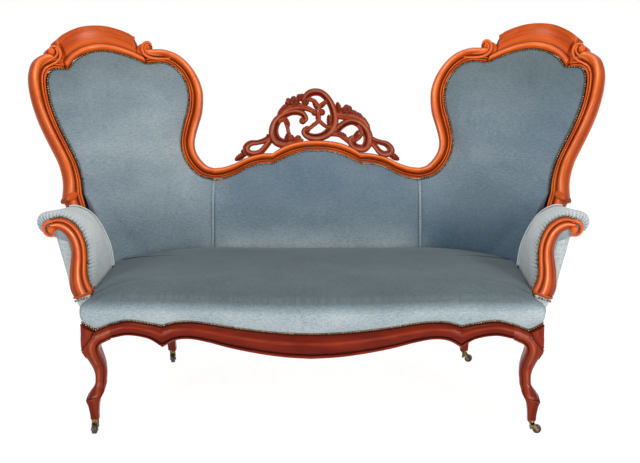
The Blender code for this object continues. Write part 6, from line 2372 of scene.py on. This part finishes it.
@dataclass(frozen=True)
class Casters:
    """Socket plates, forks with stems and axles, and turned wheels, where the frame's joints are."""

    foot_z: float = 0.0403
    socket_half: float = 0.0115
    socket_thick: float = 0.0040
    stem_half: float = 0.0032
    fork_half: float = 0.0090
    plate: float = 0.0030
    cheek: float = 0.0020
    clear: float = 0.0005
    axle_half: float = 0.0020
    wheel_half: float = 0.0125
    wheel_wide: float = 0.0135
    web: float = 0.0016
    web_low: float = 0.0150

    @staticmethod
    def turned(profile: Rows, axis: Array, across: Array, over: Array, sides: int) -> Shell:
        """A closed profile of (radius, distance along the axis) turned about an axis through the origin.

        Args:
            profile: Rows of radius and distance along the axis.
            axis: The axis.
            across: A direction across it.
            over: The direction square to both.
            sides: Points round it.

        Returns:
            The closed skin.
        """
        rows = np.asarray(profile, float)
        turns = circle(sides)[:, None, None]
        rings = rows[None, :, :1] * (np.cos(turns) * across + np.sin(turns) * over) + rows[None, :, 1:] * axis
        return Shell.loft(rings, joined=True)

    def socket(self) -> Shell:
        """Plate under a leg: a cup with a bead round its lower edge and a bore for the stem.

        Returns:
            The closed skin.
        """
        h, top = self.socket_half, self.foot_z - 0.0004
        low = top - self.socket_thick
        profile = ((h * 0.97, top), (h, top - 0.0008), (h * 0.93, low + 0.0018), (h * 0.95, low + 0.0010),
                   (h * 0.90, low), (self.stem_half + 0.0003, low), (self.stem_half + 0.0003, top))
        x, y, z = np.eye(3)
        return self.turned(profile, z, x, y, 40)

    def fork(self, trail: float) -> Shell:
        """Stem, plate and two cheeks that sweep back to the axle; X points along the trail.

        Args:
            trail: Distance from the stem to the axle.

        Returns:
            The closed skin.
        """
        x, y, z = np.eye(3)
        top = self.foot_z - 0.0008 - self.socket_thick
        low = top - self.plate
        stem = self.foot_z - 0.0012
        profile = ((0.0006, low), (self.fork_half * 0.9, low), (self.fork_half, low + 0.001),
                   (self.fork_half * 0.96, top), (self.stem_half, top), (self.stem_half, stem), (0.0006, stem))
        shells = [self.turned(profile, z, x, y, 32)]
        inner = 0.5 * self.wheel_wide + self.clear
        eye = 2.2 * self.axle_half
        turn = np.radians(np.linspace(-120.0, 60.0, 14))
        tip = np.column_stack((trail + eye * np.cos(turn), self.wheel_half + eye * np.sin(turn)))
        ahead_of, behind = 0.8 * self.fork_half, -0.45 * self.fork_half
        back = curve(((behind, low), (-0.1 * self.fork_half, low - 0.005), (trail * 0.55, self.wheel_half - 0.001),
                      tip[0]), 5)[:-1]
        ahead = curve((tip[-1], (trail * 0.92, self.wheel_half + 0.0085), (ahead_of, low)), 5)[1:]
        outline = np.vstack((((behind, low + 0.0015),), back, tip, ahead, ((ahead_of, low + 0.0015),)))
        for hand in (-1.0, 1.0):
            levels = hand * np.array((inner, inner + 0.0004, inner + self.cheek - 0.0004, inner + self.cheek))
            shrink = np.array((0.98, 1.0, 1.0, 0.98))[:, None, None]
            centre = outline.mean(axis=0)
            flat = centre + shrink * (outline - centre)
            shells.append(Shell.loft(xyz(flat[..., 0], levels[:, None], flat[..., 1])))
        span = inner + self.cheek
        saddle = 2.0 * self.wheel_half + 0.0018
        bridge = np.array(((behind, low + 0.0018), (ahead_of, low + 0.0018), (ahead_of, saddle), (self.web, saddle),
                           (self.web, self.web_low), (behind, self.web_low)))
        shells.append(Shell.loft(xyz(bridge[:, 0], np.array((-span, span))[:, None], bridge[:, 1])))
        return joined(shells)

    def on_axle(self, profile: Rows, trail: float, sides: int) -> Shell:
        """A profile turned about the axle, behind the stem.

        Args:
            profile: Rows of radius and distance along the axis.
            trail: Distance from the stem to the axle.
            sides: Points round it.

        Returns:
            The closed skin.
        """
        x, y, z = np.eye(3)
        shell = self.turned(profile, y, x, z, sides)
        return Shell(shell.points + (trail, 0.0, self.wheel_half), shell.faces)

    def axle(self, trail: float) -> Shell:
        """Pin through the wheel, with domed heads outside the cheeks.

        Args:
            trail: Distance from the stem to the axle.

        Returns:
            The closed skin.
        """
        reach = 0.5 * self.wheel_wide + self.clear + self.cheek
        r = self.axle_half
        profile = ((0.0004, -reach - 0.0012), (1.0 * r, -reach - 0.0010), (1.6 * r, -reach - 0.0003), (r, -reach),
                   (r, reach), (1.6 * r, reach + 0.0003), (1.0 * r, reach + 0.0010), (0.0004, reach + 0.0012))
        return self.on_axle(profile, trail, 20)

    def wheel(self, trail: float) -> Shell:
        """Turned wheel with a rounded tread, hollow sides and a bore.

        Args:
            trail: Distance from the stem to the axle.

        Returns:
            The closed skin.
        """
        h, r = 0.5 * self.wheel_wide, self.wheel_half
        bore = self.axle_half + 0.0003
        # Turned wheel with a rounded tread, dished sides and a bore.
        half = ((bore, h), (0.36 * r, h), (0.40 * r, 0.86 * h), (0.66 * r, 0.84 * h), (0.74 * r, h),
                (0.90 * r, 0.92 * h), (0.985 * r, 0.62 * h), (r, 0.25 * h))
        profile = half + tuple((a, -b) for a, b in half[::-1])
        return self.on_axle(profile, trail, 48)

    def build(self, shop: Workshop, brass: Coat, tread: Coat) -> None:
        """Makes four casters, each turned as its joints say.

        Args:
            shop: Where pieces are made.
            brass: Finish of the metal.
            tread: Finish of the wheels.
        """
        for row in ("front", "rear"):
            for side in Side:
                label = f"{row}_{side.label}"
                stem = np.array(shop.joints["swivel_" + label]["pos_m"])
                hub = np.array(shop.joints["roll_" + label]["pos_m"])
                trail = float(np.linalg.norm((hub - stem)[:2]))
                ahead = unit(np.append((hub - stem)[:2], 0.0))
                axes = np.array((ahead, np.cross((0.0, 0.0, 1.0), ahead), (0.0, 0.0, 1.0)))
                parts = (("socket", self.socket(), brass, BODY), ("fork", self.fork(trail), brass, "fork_" + label),
                         ("axle", self.axle(trail), brass, "fork_" + label),
                         ("wheel", self.wheel(trail), tread, "wheel_" + label))
                for name, shell, coat, body in parts:
                    placed = Shell(shell.points @ axes + (stem[0], stem[1], 0.0), shell.faces)
                    node = f"caster_{name}_{label}"
                    shop.add("fine_" + node, placed, coat, [node], body, shifted=False, sharp=35.0)


@dataclass(frozen=True)
class Studio:
    """Pale floor, soft lamps, even world light and the camera at the photograph's angle."""

    frame_pixels: int = 640
    focal_pixels: float = 1136.0
    sensor: float = 36.0
    place: tuple[float, float, float] = (0.0991, -2.9991, 1.2663)
    yaw: float = 0.0247
    pitch: float = 0.2247
    roll: float = -0.0064
    floor_half: float = 14.0
    floor_tone: float = 0.90
    floor_pale: float = 0.97
    glow: float = 0.70
    paper: float = 1.275
    level: float = 0.40
    aim: tuple[float, float, float] = (0.0, 0.0, 0.5)
    lamps: Sequence[tuple[str, Sequence[float], Sequence[float], float]] = (
        ("right_box", (1.9, -2.7, 1.2), (0.60, 1.20), 43.0),
        ("left_box", (-1.9, -2.7, 1.2), (0.50, 1.20), 24.0),
        ("low_box_left", (-1.15, -1.9, 0.21), (0.34, 0.38), 5.0),
        ("low_box_right", (1.15, -1.9, 0.21), (0.34, 0.38), 5.0),
        ("top", (0.2, -0.3, 3.4), (2.6, 1.4), 42.0),
    )

    @staticmethod
    def stand(data: bpy.types.ID, axes: Sequence[Array], place: Any) -> bpy.types.Object:
        """Puts a camera or a lamp into the scene, turned to its own axes.

        Args:
            data: The camera's or lamp's data.
            axes: Its right, its up and its back.
            place: Where it stands.

        Returns:
            The new object.
        """
        matrix = np.eye(4)
        matrix[:3, :3] = np.column_stack(axes)
        matrix[:3, 3] = place
        made = bpy.data.objects.new(data.name, data)
        made.matrix_world = Matrix(matrix.tolist())
        bpy.context.scene.collection.objects.link(made)
        return made

    def camera(self, shift: Array) -> None:
        """A camera turned by yaw, pitch and roll from looking along +Y.

        Args:
            shift: Where the front stems stand.
        """
        ahead = np.array((-math.sin(self.yaw) * math.cos(self.pitch), math.cos(self.yaw) * math.cos(self.pitch),
                          -math.sin(self.pitch)))
        right = np.array((math.cos(self.yaw), math.sin(self.yaw), 0.0))
        up = np.cross(right, ahead)
        axes = (math.cos(self.roll) * right + math.sin(self.roll) * up,
                math.cos(self.roll) * up - math.sin(self.roll) * right, -ahead)
        data = bpy.data.cameras.new("camera")
        data.sensor_width = self.sensor
        data.lens = self.focal_pixels * self.sensor / self.frame_pixels
        bpy.context.scene.camera = self.stand(data, axes, np.array(self.place) + shift)

    def lamp(self, name: str, place: Sequence[float], size: Sequence[float], watts: float) -> None:
        """A soft box aimed at the middle of the settee.

        Args:
            name: The lamp's name.
            place: Where it hangs.
            size: Its width and height.
            watts: Its power.
        """
        data = bpy.data.lights.new(name, "AREA")
        data.shape = "RECTANGLE"
        data.size, data.size_y = size
        data.energy = watts
        away = unit(np.array(place) - self.aim)
        right = unit(np.cross((0.0, 0.0, 1.0), away))
        self.stand(data, (right, np.cross(away, right), away), place).visible_camera = False

    def seen(self, graph: Graph) -> Sock:
        """1 for rays that show the background itself: from the camera, or by reflection or through glass.

        Args:
            graph: The node tree.

        Returns:
            The value.
        """
        rays = [graph.node("ShaderNodeLightPath", {}, {}, name)
                for name in ("Is Camera Ray", "Is Glossy Ray", "Is Transmission Ray")]
        return (rays[0] + rays[1] + rays[2]).ramp(0.0, 1.0)

    def floor(self) -> None:
        """A level sheet whose paper white glows for the camera but still takes the shadow."""
        half = self.floor_half
        mesh = bpy.data.meshes.new("floor")
        corners = [(-half, -half, 0.0), (half, -half, 0.0), (half, half, 0.0), (-half, half, 0.0)]
        mesh.from_pydata(corners, [], [(0, 1, 2, 3)])
        graph = Graph("paper_floor")
        speck = graph.noise(graph.place(), 30.0, 2.0)
        graph.principled(base_color=graph.mix((self.floor_tone,) * 3, (self.floor_pale,) * 3, speck), roughness=0.9,
                         specular_ior_level=0.1)
        glow = graph.node("ShaderNodeEmission", {}, {"Color": WHITE, "Strength": self.paper})
        shader = Sock(graph, graph.shader.outputs[0])
        both = graph.node("ShaderNodeMixShader", {}, {0: self.seen(graph) * self.glow, 1: shader, 2: glow})
        graph.feed(graph.tree.nodes["Material Output"].inputs["Surface"], both)
        mesh.materials.append(graph.material)
        sheet = bpy.data.objects.new("floor", mesh)
        bpy.context.scene.collection.objects.link(sheet)

    def world(self) -> None:
        """White where the camera looks, and a plain even light elsewhere."""
        graph = Graph("studio", True)
        bpy.context.scene.world = graph.material
        graph.principled(color=WHITE, strength=self.seen(graph) * (1.0 - self.level) + self.level)

    def build(self, shift: Array) -> None:
        """Sets the stage.

        Args:
            shift: Where the front stems stand.
        """
        self.camera(shift)
        self.floor()
        self.world()
        for lamp in self.lamps:
            self.lamp(*lamp)
        bpy.context.scene.view_settings.view_transform = "Standard"


def write_sizes() -> None:
    """Updates the view layer.
    """
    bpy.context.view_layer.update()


def main() -> None:
    """Loads the frame, builds each sub-assembly round it and sets the stage."""
    logging.basicConfig(level=logging.INFO, format="%(name)s: %(message)s")
    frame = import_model()
    shop = Workshop(frame)
    size = Layout()
    wood = Polish("polished_mahogany", Slot.WOOD, (0.77, 0.132, 0.010), (0.53, 0.060, 0.004),
                  (0.070, 0.007, 0.002)).coat()
    dark = Polish("dark_polished_mahogany", Slot.DARK_WOOD, (0.19, 0.014, 0.004), (0.11, 0.007, 0.002),
                  (0.020, 0.002, 0.001), (0.48, 0.10, 0.035), 0.10).coat()
    legs = Polish("leg_mahogany", Slot.DARK_WOOD, (0.24, 0.024, 0.006), (0.13, 0.010, 0.003),
                  (0.025, 0.003, 0.001), (0.62, 0.18, 0.08), 0.12).coat()
    carved = Polish("carved_mahogany", Slot.WOOD, (0.36, 0.044, 0.009), (0.15, 0.013, 0.003),
                    (0.016, 0.002, 0.001), (0.92, 0.40, 0.22), 0.16).coat()
    velvet = Velvet().coat()
    brass = Brass("worn_brass", (0.34, 0.23, 0.09), (0.050, 0.030, 0.015), 0.36).coat()
    nail = Brass("nail_brass", (0.38, 0.27, 0.14), (0.05, 0.03, 0.02), 0.24).coat()
    beech = Timber("sawn_beech", Slot.BEECH, (0.56, 0.40, 0.23), (0.42, 0.28, 0.15), 0.6).coat()
    tread = Timber("dark_wheel_wood", Slot.WHEEL, (0.060, 0.032, 0.020), (0.022, 0.012, 0.008), 0.32).coat()
    jute = Jute().coat()
    wrapped = Timber("cloth_wrapped_beech", Slot.BEECH, (0.42, 0.46, 0.47), (0.36, 0.40, 0.41), 0.8).coat()
    shop.paint(wrapped, "side_seat_rail")
    shop.paint(beech, "rear_seat_rail", "inner_stile", "lower_back_rail", "arm_rail", "corner_block")
    shop.paint(jute, "seat_webbing", "bottom_cloth")
    back = BackFrame(size)
    back.build(shop, wood)
    Crest(size, back).build(shop, carved)
    rail = SeatFrame(size)
    rail.build(shop, dark, legs)
    stuffing = Stuffing()
    pads = BackPads(size, back, stuffing)
    pads.build(shop, velvet)
    arms = Arms(size, stuffing)
    arms.build(shop, wood, velvet)
    Seat(size, rail, pads, stuffing).build(shop, velvet)
    Trim(size, back, rail, arms, pads).build(shop, nail, velvet)
    Casters().build(shop, brass, tread)
    Studio().build(shop.shift)
    write_sizes()


if __name__ == "__main__":
    main()
